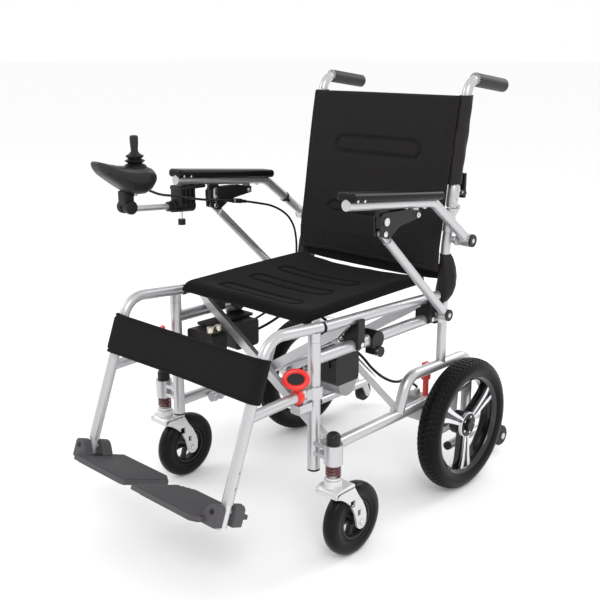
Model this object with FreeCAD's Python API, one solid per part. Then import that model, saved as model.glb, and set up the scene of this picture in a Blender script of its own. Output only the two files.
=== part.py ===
import FreeCAD, Part
import math
import os

"""Folding power wheelchair, as an assembly of separate pieces.

Units are millimetres.  +Z is up, -Y is the way the user faces and +X is the
user's left.  The model is laid out from the point on the floor under the
middle of the drive axle, and moved by ORIGIN_SHIFT when it is written, so that
the origin is on the floor under the middle of the whole chair.
"""

# ---------------------------------------------------------------- driving dimensions
ORIGIN_SHIFT = (0.0, 256.0, 0.0)

FRAME_X = 206.0          # centre plane of a side frame
MAIN_R = 12.5            # main frame tube, outside radius
CANE_R = 11.0            # back cane, hanger, seat rail and armrest tube radius
WALL = 2.0               # tube wall

POST_Y = -459.0          # front post
POST_Z = (190.0, 451.0)
MID_RAIL_Z = 416.0
BOTTOM_RAIL_Z = 218.0
REAR_POST_Y = -30.0
LOOP_Y = (-186.0, 85.0)  # the bent rear tube's feet
LOOP_Z = 297.0
TIPPER_Z = 77.0

SEAT_RAIL_FRONT = (-434.0, 474.0)
SEAT_RAIL_REAR = (-56.0, 462.0)

PIVOT_X = 180.0          # lower pivots of the cross braces
PIVOT_Z = 212.0
CROSS_Z = 326.0          # where the two braces cross
ARM_HIGH = 20.0          # brace arm section
ARM_DEEP = 12.0
BRACE_A_Y = (-385.0, -147.0)
BRACE_B_Y = (-367.0, -129.0)
BATTERY_FRONT = (-374.0, -356.0)     # left and right, behind the brace arms
LINK_OUT = 36.0          # the tie tubes' distance out from the crossing
PIN_R = 5.0
RUN_GAP = 0.05           # radial gap of a running fit

CASTER_X = 258.0
CASTER_Y = -460.0
CASTER_TRAIL = 57.0
CASTER_R = 77.0
CASTER_HALF = 17.0
DRIVE_R = 154.0
DRIVE_X = 252.6
DRIVE_HALF = 28.0
LEVER_EYE = (-36.0, 190.0)  # freewheel lever's pin on the gearbox
TIPPER_WHEEL = (222.0, 222.0, 43.0)
TIPPER_R = 26.0

BACK_HINGE = (3.0, 652.0)
LEVER_PIVOT = (13.0, 684.0)
RECLINE = 0.168          # the cane's lean, rearward per unit of height
GRIP_CORNER = (31.0, 926.0)
GRIP_END = (166.0, 908.0)

ARM_X = 244.0            # armrest plane
ARM_PIVOT = (-4.0, 584.0)
ARM_BEND = (-142.0, 685.0)
ARM_FRONT = (-416.0, 711.0)
BRACKET_REAR = (-204.0, 667.0)
BRACKET_FRONT = (-309.0, 643.0)
STRUT_FOOT = (-77.0, 430.0)
BUTTON = (-308.0, 667.0)

LEG_TOP = (-596.0, 452.0)
KNEE = (-583.0, 487.0)      # where the hanger's two straight runs would meet
LEG_FOOT = (-706.0, 157.0)
LEG_OUTER = 268.0        # length of the leg's outer tube below LEG_TOP
LEG_INNER = 140.0        # where the sliding inner tube starts
LEG_HOLES = (208.0, 238.0)
PLATE_PIVOT = 283.0      # footplate pivot, along the leg from LEG_TOP
PLATE_DEEP = 140.0
PLATE_BACK = 9.0         # how far the plate's middle sits behind its pivot
PLATE_DROP = (-22.5, -11.5)
PLATE_X = (11.0, 193.0)

STICK = (-248.0, -519.0, 752.0)   # where the joystick leaves the hand control
TUBE_FRONT = (-540.0, 660.0)      # the hand control's support tube
TUBE_REAR = (-352.0, 646.0)
CONTROL_X = -261.0
ORIGIN = FreeCAD.Vector(0, 0, 0)


# ---------------------------------------------------------------- helpers
def vec(x, y, z):
    return FreeCAD.Vector(x, y, z)


def rod(start, end, radius):
    """A round bar between two points."""
    a, b = FreeCAD.Vector(*start), FreeCAD.Vector(*end)
    return Part.makeCylinder(radius, (b - a).Length, a, b - a)


def ring(start, end, outer, inner):
    return rod(start, end, outer).cut(rod(start, end, inner))


def block(x, y, z):
    """A box from its (low, high) pairs."""
    return Part.makeBox(x[1] - x[0], y[1] - y[0], z[1] - z[0], vec(x[0], y[0], z[0]))


def softened(shape, radius, pick=lambda edge: True):
    """The shape with the chosen edges rounded."""
    edges = [e for e in shape.Edges if pick(e)]
    return shape.makeFillet(radius, edges)


def along(axis):
    """Picks the straight edges that run along one axis, 0, 1 or 2."""
    def pick(edge):
        if len(edge.Vertexes) != 2:
            return False
        step = edge.Vertexes[1].Point - edge.Vertexes[0].Point
        return abs(abs(step[axis]) - step.Length) < 1e-6
    return pick


def path(points, bend):
    """A wire of straight runs joined by tangent arcs of one radius, or of one radius each."""
    points = [FreeCAD.Vector(*p) for p in points]
    bends = bend if isinstance(bend, (list, tuple)) else [bend] * (len(points) - 2)
    edges, here = [], points[0]
    for corner, before, after, radius in zip(points[1:-1], points, points[2:], bends):
        u = (before - corner).normalize()
        w = (after - corner).normalize()
        turn = math.pi - u.getAngle(w)
        reach = radius * math.tan(turn / 2)
        start, end = corner + u * reach, corner + w * reach
        middle = corner + (u + w).normalize() * (radius / math.cos(turn / 2) - radius)
        edges.append(Part.LineSegment(here, start).toShape())
        edges.append(Part.Arc(start, middle, end).toShape())
        here = end
    edges.append(Part.LineSegment(here, points[-1]).toShape())
    return Part.Wire(edges)


def swept(points, bend, radius):
    """A round solid that follows a path."""
    wire = path(points, bend) if len(points) > 2 else None
    if wire is None:
        return rod(points[0], points[1], radius)
    start = FreeCAD.Vector(*points[0])
    heading = FreeCAD.Vector(*points[1]) - start
    profile = Part.Wire([Part.Circle(start, heading, radius).toShape()])
    return wire.makePipeShell([profile], True, False)


def in_plane(x, outline):
    """(y, z) points as (x, y, z) points in one plane."""
    return [(x, y, z) for y, z in outline]


def weld(outers, bores=()):
    """One solid of the outers, less the bores."""
    body = outers[0].multiFuse(list(outers[1:])) if len(outers) > 1 else outers[0]
    for bore in bores:
        body = body.cut(bore)
    return body.removeSplitter()


def plate(x, outline, holes=()):
    """A flat plate between two x values from (y, z) corners, less round (y, z, radius) holes."""
    corners = [vec(x[0], y, z) for y, z in outline]
    face = Part.Face(Part.makePolygon(corners + corners[:1]))
    body = face.extrude(vec(x[1] - x[0], 0, 0))
    for y, z, radius in holes:
        body = body.cut(rod((x[0] - 1, y, z), (x[1] + 1, y, z), radius))
    return body


def stadium(x, start, end, radius):
    """A round-ended link plate between two x values and two (y, z) centres."""
    run = math.hypot(end[0] - start[0], end[1] - start[1])
    across = ((end[1] - start[1]) / run * radius, -(end[0] - start[0]) / run * radius)
    corners = [
        (start[0] + across[0], start[1] + across[1]),
        (end[0] + across[0], end[1] + across[1]),
        (end[0] - across[0], end[1] - across[1]),
        (start[0] - across[0], start[1] - across[1]),
    ]
    ends = [rod((x[0], *p), (x[1], *p), radius) for p in (start, end)]
    return weld([plate(x, corners), *ends])


def mirrored(shape):
    return shape.mirror(ORIGIN, vec(1, 0, 0))


def together(*shapes):
    """Separate solids that share one node."""
    return Part.makeCompound([solid for shape in shapes for solid in shape.Solids])


def write(name, shape):
    placed = shape.copy()
    placed.translate(FreeCAD.Vector(*ORIGIN_SHIFT))
    placed.exportStep("parts/" + name + ".step")


def write_pair(name, shape):
    """Writes a left piece and its mirror image."""
    write("left_" + name, shape)
    write("right_" + name, mirrored(shape))


def cane_y(z):
    """The cane's centre line, once it has left the vertical."""
    return REAR_POST_Y + (z - 565.0) * RECLINE


# ---------------------------------------------------------------- side frame
def pivot_bracket(y):
    """Two ears under the bottom rail and the pin that a brace's foot turns on."""
    gap = ARM_DEEP / 2 + 0.6
    ears = []
    for side in (-1, 1):
        near = y + side * gap
        far = near + side * 4.0
        low, high = min(near, far), max(near, far)
        ear = rod((PIVOT_X, low, PIVOT_Z), (PIVOT_X, high, PIVOT_Z), 12.0)
        arm = block((PIVOT_X, FRAME_X - 4), (low, high), (PIVOT_Z - 8, PIVOT_Z + 12))
        ears += [ear, arm]
    length = gap + 4.0 + 6.0
    pin = rod((PIVOT_X, y - length, PIVOT_Z), (PIVOT_X, y + length, PIVOT_Z), PIN_R)
    cap = rod((PIVOT_X, y - length - 3, PIVOT_Z), (PIVOT_X, y - gap - 4, PIVOT_Z), 11.0)
    return ears + [pin, cap]


def side_frame(brace_ys):
    """The welded left frame: post, rails, rear loop, rear post and the lower back cane."""
    x = FRAME_X
    inner = MAIN_R - WALL
    seat = [(POST_Y, MID_RAIL_Z), (REAR_POST_Y, MID_RAIL_Z)]
    bottom = [(POST_Y, BOTTOM_RAIL_Z), (LOOP_Y[1], BOTTOM_RAIL_Z)]
    loop = [
        (LOOP_Y[0], BOTTOM_RAIL_Z),
        (LOOP_Y[0] + 30, LOOP_Z),
        (LOOP_Y[1], LOOP_Z - 4),
        (LOOP_Y[1], TIPPER_Z),
    ]
    tipper = [(18.0, TIPPER_Z), (212.0, TIPPER_Z)]
    cane = [(REAR_POST_Y, LOOP_Z), (REAR_POST_Y, 565.0), (cane_y(651.0), 651.0)]
    outers = [
        rod((x, POST_Y, POST_Z[0]), (x, POST_Y, POST_Z[1]), MAIN_R),
        swept(in_plane(x, seat), 0, MAIN_R),
        swept(in_plane(x, bottom), 0, MAIN_R),
        swept(in_plane(x, loop), [42.0, 42.0], MAIN_R),
        swept(in_plane(x, tipper), 0, MAIN_R - 2),
        swept(in_plane(x, cane), 150.0, CANE_R),
    ]
    bores = [
        rod((x, POST_Y, POST_Z[0] - 1), (x, POST_Y, POST_Z[1] + 1), inner),
        rod((x, POST_Y, MID_RAIL_Z), (x, REAR_POST_Y - CANE_R, MID_RAIL_Z), inner - 0.5),
        rod((x, POST_Y, BOTTOM_RAIL_Z), (x, LOOP_Y[0] - 20, BOTTOM_RAIL_Z), inner - 0.5),
        rod((x, 17.0, TIPPER_Z), (x, 213.0, TIPPER_Z), inner - 2),
        swept(in_plane(x, [(REAR_POST_Y, 330.0), *cane[1:-1], (cane_y(655.0), 655.0)]), 150.0, 9.0),
    ]
    # caster barrel, held off the post by two webs
    barrel = ring((CASTER_X, CASTER_Y, 216), (CASTER_X, CASTER_Y, 257), 18.5, 9.05)
    for z in (222.0, 243.0):
        outers.append(block((x, CASTER_X), (CASTER_Y - 9, CASTER_Y + 9), (z, z + 8)))
    # armrest pivots: a stub from the cane, and one from the middle rail
    outers.append(rod((x, -21, 584), (ARM_X - 13, -21, 584), 8.0))
    outers.append(rod((ARM_X - 17, -21, 584), (ARM_X - 13, -21, 584), 12.0))
    outers.append(stadium((ARM_X - 17, ARM_X - 13), (-21.0, 584.0), ARM_PIVOT, 12.0))
    outers.append(rod((ARM_X - 17, *ARM_PIVOT), (ARM_X + 16, *ARM_PIVOT), PIN_R))
    outers.append(rod((x, -77, MID_RAIL_Z + 4), (ARM_X - 9, -77, MID_RAIL_Z + 4), 7.0))
    outers.append(stadium((ARM_X - 13, ARM_X - 9), (-77.0, 420.0), STRUT_FOOT, 11.0))
    outers.append(rod((ARM_X - 13, *STRUT_FOOT), (ARM_X + 12, *STRUT_FOOT), PIN_R))
    # rear gusset with a half-round opening, and the motor's hanging plate
    outers.append(
        plate(
            (x - 3, x + 3),
            [(LOOP_Y[1], TIPPER_Z), (190.0, TIPPER_Z), (176.0, 104.0), (LOOP_Y[1], 150.0)],
            [(140.0, TIPPER_Z + 8, 24.0)],
        )
    )
    outers.append(
        plate(
            (x - 4, x + 3),
            [(-46.0, 212.0), (46.0, 212.0), (40.0, 118.0), (-40.0, 118.0)],
            [(0.0, DRIVE_R, 22.0)],
        )
    )
    # ears of the back hinge, behind the cane
    for side in (-1, 1):
        span = sorted((x + side * 4.5, x + side * 8.5))
        outers.append(stadium(span, (-14.0, 636.0), BACK_HINGE, 5.5))
    outers.append(rod((x - 10, *BACK_HINGE), (x + 10, *BACK_HINGE), 3.5))
    # axle of the anti-tip wheel
    tip_x, tip_y, tip_z = TIPPER_WHEEL
    outers.append(stadium((x - 3, x + 3), (205.0, TIPPER_Z), (tip_y, tip_z), 10.0))
    outers.append(rod((x - 3, tip_y, tip_z), (tip_x + 11, tip_y, tip_z), 4.0))
    outers.append(rod((tip_x + 10.6, tip_y, tip_z), (tip_x + 14, tip_y, tip_z), 8.0))
    for y in brace_ys:
        outers += pivot_bracket(y)
    frame = weld(outers, bores)
    return weld([frame, barrel], [rod((CASTER_X, CASTER_Y, 210), (CASTER_X, CASTER_Y, 260), 9.05)])


def frame_fittings():
    """Black plastic pieces on the left frame: seat guides, clamps, plugs and the barrel's cap."""
    x = FRAME_X
    pieces = []
    for y in (-340.0, -98.0):
        rail_z = seat_rail_z(y)
        body = block((x - 19, x + 19), (y - 10, y + 10), (MID_RAIL_Z - 5, rail_z + 0.5))
        body = softened(body, 3.0, along(1))
        slot = block((x - 12.8, x + 12.8), (y - 11, y + 11), (rail_z - 12.2, rail_z + 6))
        body = body.cut(slot)
        body = body.cut(rod((x, y - 11, MID_RAIL_Z), (x, y + 11, MID_RAIL_Z), MAIN_R + 0.1))
        bolt = rod((x + 19, y, MID_RAIL_Z + 4), (x + 22, y, MID_RAIL_Z + 4), 5.0)
        pieces.append(weld([body, bolt]))
    # round clamp and its hand knob
    clamp = rod((x - 17, -284, MID_RAIL_Z), (x + 17, -284, MID_RAIL_Z), 19.0)
    clamp = clamp.cut(rod((x, -310, MID_RAIL_Z), (x, -260, MID_RAIL_Z), MAIN_R + 0.1))
    stem = block((x - 8, x + 14), (-294, -276), (386, 402))
    knob = rod((x + 14, -282, 392), (x + 24, -282, 392), 11.0)
    pieces.append(weld([clamp, stem, knob]))
    # a collar where the middle rail meets the cane's foot
    collar = ring((x, -66, MID_RAIL_Z), (x, -44, MID_RAIL_Z), 17.0, MAIN_R + 0.1)
    pieces.append(collar.cut(rod((x, -77, MID_RAIL_Z + 4), (x + 40, -77, MID_RAIL_Z + 4), 14.0)))
    # dome cap of the caster barrel
    cap = rod((CASTER_X, CASTER_Y, 257.1), (CASTER_X, CASTER_Y, 281), 14.0)
    pieces.append(softened(cap, 10.0, lambda e: abs(e.BoundBox.ZMin - 281) < 0.01))
    # ring washers outside the armrest's two pivots
    pieces.append(ring((ARM_X + 12.5, *ARM_PIVOT), (ARM_X + 15.5, *ARM_PIVOT), 14.0, 5.2))
    pieces.append(ring((ARM_X + 8.5, *STRUT_FOOT), (ARM_X + 11.5, *STRUT_FOOT), 13.0, 5.2))
    # plugs of the open tubes
    pieces.append(rod((x, 12.0, TIPPER_Z), (x, 17.9, TIPPER_Z), 10.0))
    pieces.append(rod((x, POST_Y, POST_Z[0] - 4), (x, POST_Y, POST_Z[0] - 0.1), MAIN_R))
    return together(*pieces)


def seat_rail_z(y):
    (y0, z0), (y1, z1) = SEAT_RAIL_FRONT, SEAT_RAIL_REAR
    return z0 + (z1 - z0) * (y - y0) / (y1 - y0)


# ---------------------------------------------------------------- cross braces
def brace(ys, pinned):
    """A left-to-right pair of arms, seat rail, tie tube and crossing pins.

    The arms' feet are on the left frame and they carry the right seat rail.
    """
    slope = (CROSS_Z - PIVOT_Z) / PIVOT_X
    top_x = -183.0
    top_z = CROSS_Z - slope * top_x
    parts, bores = [], []
    half = ARM_HIGH / 2
    for y in ys:
        deep = (y - ARM_DEEP / 2, y + ARM_DEEP / 2)
        runs = [((PIVOT_X, PIVOT_Z), (top_x, top_z)), ((top_x, top_z), (-FRAME_X, seat_rail_z(y) - 4))]
        for a, b in runs:
            run = math.hypot(b[0] - a[0], b[1] - a[1])
            turn = math.degrees(math.atan2(b[1] - a[1], b[0] - a[0]))
            bar = block((0, run), deep, (-half, half))
            bar.rotate(ORIGIN, vec(0, 1, 0), -turn)
            bar.translate(vec(a[0], 0, a[1]))
            parts.append(bar)
        for end in ((PIVOT_X, PIVOT_Z), (top_x, top_z)):
            parts.append(rod((end[0], deep[0], end[1]), (end[0], deep[1], end[1]), half))
        foot = rod((PIVOT_X, deep[0] - 1, PIVOT_Z), (PIVOT_X, deep[1] + 1, PIVOT_Z), PIN_R + RUN_GAP)
        bores.append(foot)
        if pinned:
            parts.append(rod((0, deep[0] - 4, CROSS_Z), (0, deep[1] + 22, CROSS_Z), PIN_R))
            parts.append(rod((0, deep[0] - 4, CROSS_Z), (0, deep[0], CROSS_Z), 10.0))
            parts.append(rod((0, deep[1] + 18.5, CROSS_Z), (0, deep[1] + 22, CROSS_Z), 9.0))
        else:
            bores.append(rod((0, deep[0] - 1, CROSS_Z), (0, deep[1] + 1, CROSS_Z), PIN_R + RUN_GAP))
    front = (-FRAME_X, *SEAT_RAIL_FRONT)
    rear = (-FRAME_X, *SEAT_RAIL_REAR)
    parts.append(rod(front, rear, CANE_R))
    tie_z = CROSS_Z - slope * LINK_OUT
    parts.append(rod((LINK_OUT, ys[0], tie_z), (LINK_OUT, ys[1], tie_z), 8.0))
    body = weld(parts, bores)
    plug_tip = (-FRAME_X, SEAT_RAIL_FRONT[0] - 3.4, SEAT_RAIL_FRONT[1])
    plug = rod(plug_tip, (-FRAME_X, SEAT_RAIL_FRONT[0] - 0.1, SEAT_RAIL_FRONT[1]), CANE_R + 0.6)
    return together(body, plug)


# ---------------------------------------------------------------- wheels and drive
def turned(outline, centre):
    """A solid of revolution about X from (x, radius) points, centred on a point."""
    corners = [vec(x, 0, r) for x, r in outline]
    face = Part.Face(Part.makePolygon(corners + corners[:1]))
    body = face.revolve(ORIGIN, vec(1, 0, 0), 360)
    body.translate(FreeCAD.Vector(*centre))
    return body


def tyre(radius, bead, half, centre):
    """A tyre with a rounded crown."""
    shoulder = min(half, (radius - bead) * 0.5)
    steps = 8
    crown = []
    for i in range(steps + 1):
        angle = math.pi * i / steps
        crown.append((-half * math.cos(angle), radius - shoulder + shoulder * math.sin(angle)))
    return turned([(-half * 0.72, bead), *crown, (half * 0.72, bead)], centre)


def drive_rim():
    """Cast wheel: rim, three split spokes and hub."""
    bead = 112.0
    rim = [(-19.8, bead - 0.2), (19.8, bead - 0.2), (20, 109), (12, 105), (-12, 105), (-20, 109)]
    centre = (DRIVE_X, 0, DRIVE_R)
    hub = [(-16, 8.0), (-16, 30), (14, 30), (18, 24), (18, 8.0)]
    parts = [turned(rim, centre), turned(hub, centre)]
    for k in range(3):
        for side in (-1, 1):
            spoke = block((2, 16), sorted((side * 1.5, side * 21.0)), (20, 107))
            spoke.rotate(ORIGIN, vec(1, 0, 0), 120 * k + 180)
            spoke.translate(FreeCAD.Vector(*centre))
            parts.append(spoke)
    return weld(parts)


def drive_motor():
    """Gear motor: gearbox on the frame plate, motor can inboard and the wheel's axle."""
    z = DRIVE_R
    gearbox = rod((160, 0, z), (201.8, 0, z), 40.0)
    can = rod((100, 8, z + 4), (160, 8, z + 4), 34.0)
    axle = rod((201, 0, z), (DRIVE_X + 20, 0, z), 7.95)
    nut = rod((DRIVE_X + 18.4, 0, z), (DRIVE_X + 24, 0, z), 12.0)
    gland = rod((118, 8, z + 34), (118, 8, z + 46), 7.0)
    boss = stadium((180, 186), (-24.0, z + 22), LEVER_EYE, 8.0)
    pin = rod((164, *LEVER_EYE), (186, *LEVER_EYE), 4.0)
    return weld([gearbox, can, axle, nut, gland, boss, pin])


def freewheel_lever():
    """Red clutch lever on the gearbox, standing up beside the frame."""
    stem = block((168, 176), (-42, -30), (188, 250))
    blade = block((166, 178), (-46, -26), (250, 292))
    blade = softened(blade, 3.0, along(0))
    eye = rod((166, *LEVER_EYE), (178, *LEVER_EYE), 9.0)
    return weld([stem, blade, eye], [rod((160, *LEVER_EYE), (190, *LEVER_EYE), 4.0 + RUN_GAP)])


def caster_stem():
    """The sprung leg that slides in the frame's barrel."""
    x, y = CASTER_X, CASTER_Y
    shaft = rod((x, y, 187), (x, y, 248), 9.0)
    collar = rod((x, y, 184.2), (x, y, 189), 15.0)
    spindle = rod((x, y, 160), (x, y, 186), 6.0)
    return weld([shaft, collar, spindle])


def caster_spring():
    """Coil of the front suspension, between the barrel and the stem's collar."""
    x, y = CASTER_X, CASTER_Y
    turns, wire = 4.0, 2.1
    pitch = (215.6 - 189.4 - 2 * wire) / turns
    helix = Part.makeHelix(pitch, pitch * turns, 13.4)
    start = vec(13.4, 0, 0)
    profile = Part.Wire([Part.Circle(start, vec(0, 1, 0.12), wire).toShape()])
    coil = Part.Wire(helix.Edges).makePipeShell([profile], True, True)
    coil.translate(vec(x, y, 189.4 + wire))
    return coil


def caster_fork():
    """Fork: crown around the stem's spindle, two raked legs with windows."""
    x, y, top = CASTER_X, CASTER_Y, 183.8
    axle_y, axle_z = y + CASTER_TRAIL, CASTER_R
    crown = rod((x, y, 157), (x, y, top), 19.0)
    bridge = block((x - 27, x + 27), (y - 14, y + 26), (157, 171))
    parts = [crown, softened(bridge, 6.0, along(2))]
    for side in (-1, 1):
        span = sorted((x + side * 21.5, x + side * 27.0))
        leg = plate(
            span,
            [(y - 14, 171), (y + 26, 171), (axle_y + 16, axle_z + 4), (axle_y + 12, axle_z - 12),
             (axle_y - 10, axle_z - 12), (y + 18, 128)],
        )
        leg = leg.cut(block((x - 40, x + 40), (y + 16, y + 27), (138, 152)))
        leg = leg.cut(block((x - 40, x + 40), (axle_y - 14, axle_y - 4), (100, 114)))
        parts.append(leg)
    parts.append(rod((x - 31, axle_y, axle_z), (x + 31, axle_y, axle_z), 5.0))
    bore = rod((x, y, 150), (x, y, 190), 6.0 + RUN_GAP)
    return weld(parts, [bore])


def caster_wheel():
    """Solid tyre on a ribbed hub."""
    centre = (CASTER_X, CASTER_Y + CASTER_TRAIL, CASTER_R)
    rubber = tyre(CASTER_R, 50.0, CASTER_HALF, centre)
    hub = turned([(-12, 49.8), (12, 49.8), (12, 44), (5, 40), (5, 17), (16, 14), (16, 5.05),
                  (-16, 5.05), (-16, 14), (-5, 17), (-5, 40), (-12, 44)], centre)
    return together(rubber, hub)


def tipper_wheel():
    outline = [(-10, 4.05), (-10, TIPPER_R - 3), (-7, TIPPER_R), (7, TIPPER_R), (10, TIPPER_R - 3), (10, 4.05)]
    return turned(outline, TIPPER_WHEEL)


def battery_pack(front):
    """Battery case hung inboard of the frame under the middle rail, with its top flange."""
    case = softened(block((125, 188), (front, front + 72), (330, 392)), 8.0, along(0))
    flange = block((150, 188), (-414, front + 78), (392, 398.5))
    hook = block((184, 192), (-322, -302), (392, 402))
    latch = softened(block((140, 172), (front - 3.5, front + 0.5), (366, 384)), 1.5, along(1))
    return weld([case, flange, hook, latch])


# ---------------------------------------------------------------- back and armrests
def upper_cane():
    """Upper back tube with its push grip, and the tongue of the back hinge."""
    x = FRAME_X
    hinge_y, hinge_z = BACK_HINGE
    start_z = 652.4
    route = [(cane_y(start_z), start_z), GRIP_CORNER, GRIP_END]
    tube = swept(in_plane(x, route), 34.0, CANE_R)
    below = block((x - 30, x + 30), (-60, 20), (600, start_z))
    tube = tube.cut(below)
    sleeve = rod((x, cane_y(656), 656), (x, cane_y(684), 684), CANE_R + 2.0)
    tongue = stadium((x - 4, x + 4), (-10.0, 668.0), BACK_HINGE, 6.0)
    bore = rod((x - 20, hinge_y, hinge_z), (x + 20, hinge_y, hinge_z), 3.5 + RUN_GAP)
    pin = rod((x - 9.5, *LEVER_PIVOT), (x + 9.5, *LEVER_PIVOT), 2.5)
    ear = stadium((x - 4, x + 4), (-6.0, 678.0), LEVER_PIVOT, 5.0)
    metal = weld([tube, sleeve, tongue, ear, pin], [bore])
    run = vec(0, GRIP_END[0] - GRIP_CORNER[0], GRIP_END[1] - GRIP_CORNER[1]).normalize()
    tip = vec(x, *GRIP_END)
    start = tip - run * 112.0
    grip = Part.makeCylinder(15.0, 116.0, start, run)
    grip = grip.cut(Part.makeCylinder(CANE_R + 0.1, 112.0, start, run))
    return together(metal, grip)


def back_lever():
    """Lock lever of the folding back, a fork on the tongue's small pin."""
    x, (y, z) = FRAME_X, LEVER_PIVOT
    parts = []
    for side in (-1, 1):
        span = sorted((x + side * 4.4, x + side * 7.4))
        parts.append(stadium(span, LEVER_PIVOT, (y + 13, z - 4), 6.0))
    parts.append(softened(block((x - 7.4, x + 7.4), (y + 10, y + 18), (z - 14, z + 40)), 2.5, along(2)))
    return weld(parts, [rod((x - 20, y, z), (x + 20, y, z), 2.5 + RUN_GAP)])


def armrest():
    """Bent armrest tube from the rear pivot to the front, with ears for the latch bracket."""
    x = ARM_X
    tube = swept(in_plane(x, [ARM_PIVOT, ARM_BEND, ARM_FRONT]), 60.0, CANE_R)
    eye = rod((x - 12, *ARM_PIVOT), (x + 12, *ARM_PIVOT), 15.0)
    bore = rod((x - 40, *ARM_PIVOT), (x + 40, *ARM_PIVOT), PIN_R + RUN_GAP)
    ear = stadium((x - 4, x + 4), (BRACKET_REAR[0], 690.0), BRACKET_REAR, 9.0)
    catch = block((x - 4, x + 4), (-322, -294), (655, 696))
    pin = rod((x - 14, *BRACKET_REAR), (x + 14, *BRACKET_REAR), 3.5)
    return weld([tube, eye, ear, catch, pin], [bore, rod((x - 30, *BUTTON), (x + 30, *BUTTON), 9.0)])


def armrest_pad():
    """Moulded pad clipped on the armrest tube."""
    x = ARM_X
    lean = (ARM_FRONT[1] - ARM_BEND[1]) / (ARM_FRONT[0] - ARM_BEND[0])
    length = 290.0
    pad = softened(block((x - 22, x + 22), (-length, 0), (0, 18)), 8.0, along(1))
    pad = pad.makeFillet(5.0, [e for e in pad.Edges if e.BoundBox.YLength < 1e-6 and e.Length > 5])
    pad.rotate(ORIGIN, vec(1, 0, 0), math.degrees(math.atan(lean)))
    pad.translate(vec(0, -130.0, ARM_BEND[1] + 16 * -lean + 3.0))
    tube = swept(in_plane(x, [ARM_PIVOT, ARM_BEND, (-480.0, ARM_FRONT[1] - 64.0 * lean)]), 60.0, CANE_R + 0.3)
    return pad.cut(tube)


def latch_bracket():
    """Black double-cheek bracket under the armrest, from its rear bolt to the strut's top."""
    x = ARM_X
    parts = []
    for side in (-1, 1):
        span = sorted((x + side * 5.0, x + side * 9.0))
        outline = [
            (BRACKET_REAR[0] + 9, BRACKET_REAR[1] - 6), (BRACKET_REAR[0] + 9, BRACKET_REAR[1] + 8),
            (-240.0, 682.0), (-316.0, 684.0), (-324.0, 676.0), (-322.0, 640.0),
            (BRACKET_FRONT[0] + 12, BRACKET_FRONT[1] - 12), (-262.0, 652.0),
        ]
        parts.append(plate(span, outline))
    bridge = block((x - 9, x + 9), (-290, -262), (652, 656))
    parts.append(bridge)
    bores = [
        rod((x - 30, *BRACKET_REAR), (x + 30, *BRACKET_REAR), 3.5 + RUN_GAP),
        rod((x, *BUTTON), (x + 30, *BUTTON), 8.0 + RUN_GAP),
    ]
    return weld(parts, bores)


def latch_button():
    """Silver push button of the armrest latch, in the bracket's outer cheek."""
    return rod((ARM_X + 5, *BUTTON), (ARM_X + 13, *BUTTON), 8.0)


def armrest_strut():
    """Round strut from the frame's lower pivot to the latch bracket's nose."""
    x = ARM_X
    (y0, z0), (y1, z1) = STRUT_FOOT, BRACKET_FRONT
    run = math.hypot(y1 - y0, z1 - z0)
    step = ((y1 - y0) / run, (z1 - z0) / run)
    near = (y0 + step[0] * 15, z0 + step[1] * 15)
    far = (y1 - step[0] * 26, z1 - step[1] * 26)
    tube = rod((x, *near), (x, *far), CANE_R - 1.5)
    foot = rod((x - 8, y0, z0), (x + 8, y0, z0), 12.5)
    neck = stadium((x - 8, x + 8), (y0, z0), (y0 + step[0] * 26, z0 + step[1] * 26), 5.0)
    tip = stadium((x - 4, x + 4), (y1 - step[0] * 40, z1 - step[1] * 40), (y1, z1), 8.0)
    return weld([tube, foot, neck, tip], [rod((x - 20, y0, z0), (x + 20, y0, z0), PIN_R + RUN_GAP)])


# ---------------------------------------------------------------- leg rests
def leg_run():
    """Unit vector down the leg."""
    return vec(0, LEG_FOOT[0] - LEG_TOP[0], LEG_FOOT[1] - LEG_TOP[1]).normalize()


def leg_front():
    """Unit vector square to the leg, pointing forward."""
    run = leg_run()
    return vec(0, run.z, -run.y)


def leg_point(distance):
    return vec(FRAME_X, *LEG_TOP) + leg_run() * distance


def hanger():
    """Swing-away leg rest tube with its post pin, lower tube, clip and guide block."""
    x, run = FRAME_X, leg_run()
    tube_end = leg_point(LEG_OUTER)
    top = [(-442.0, 476.0), KNEE, (tube_end.y, tube_end.z)]
    tube = swept(in_plane(x, top), 50.0, CANE_R)
    lower = rod((x, -482, 353), (x, -634, 347.5), CANE_R - 0.5)
    pin = rod((x, POST_Y, 425), (x, POST_Y, 452), MAIN_R - WALL - RUN_GAP)
    collar = rod((x, POST_Y, 451.4), (x, POST_Y, 470), MAIN_R)
    clip = ring((x, POST_Y, 339), (x, POST_Y, 363), 17.5, MAIN_R + 0.3)
    clip = clip.cut(block((x - 8, x + 8), (POST_Y, POST_Y + 30), (330, 370)))
    link = block((x - 9, x + 9), (-488, -474), (341, 362))
    guide = softened(block((x - 13, x + 13), (-512, -478), (318, 336)), 4.0, along(1))
    neck = block((x - 6, x + 6), (-496, -484), (334, 346))
    bores = [Part.makeCylinder(9.0 + RUN_GAP, 200, leg_point(LEG_INNER - 38), run)]
    for distance in LEG_HOLES:
        bores.append(Part.makeCylinder(3.2, 20, leg_point(distance), vec(1, 0, 0)))
    return weld([tube, lower, pin, collar, clip, link, guide, neck], bores)


def hanger_lever():
    """Red ring lever that frees the leg rest, on the lower tube."""
    x, y, z = FRAME_X, -506.0, 352.2
    hoop = Part.makeTorus(18.0, 5.0, vec(x, y - 4, z + 36), vec(0.5, -0.6, 0.62))
    stem = rod((x + 6, y - 10, z + 24), (x, y, z + 12.5), 4.5)
    foot = ring((x, y - 6, z), (x, y + 6, z), 14.6, CANE_R - 0.2)
    return weld([hoop, stem, foot], [rod((x, y - 20, z), (x, y + 20, z), CANE_R - 0.2)])


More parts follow.
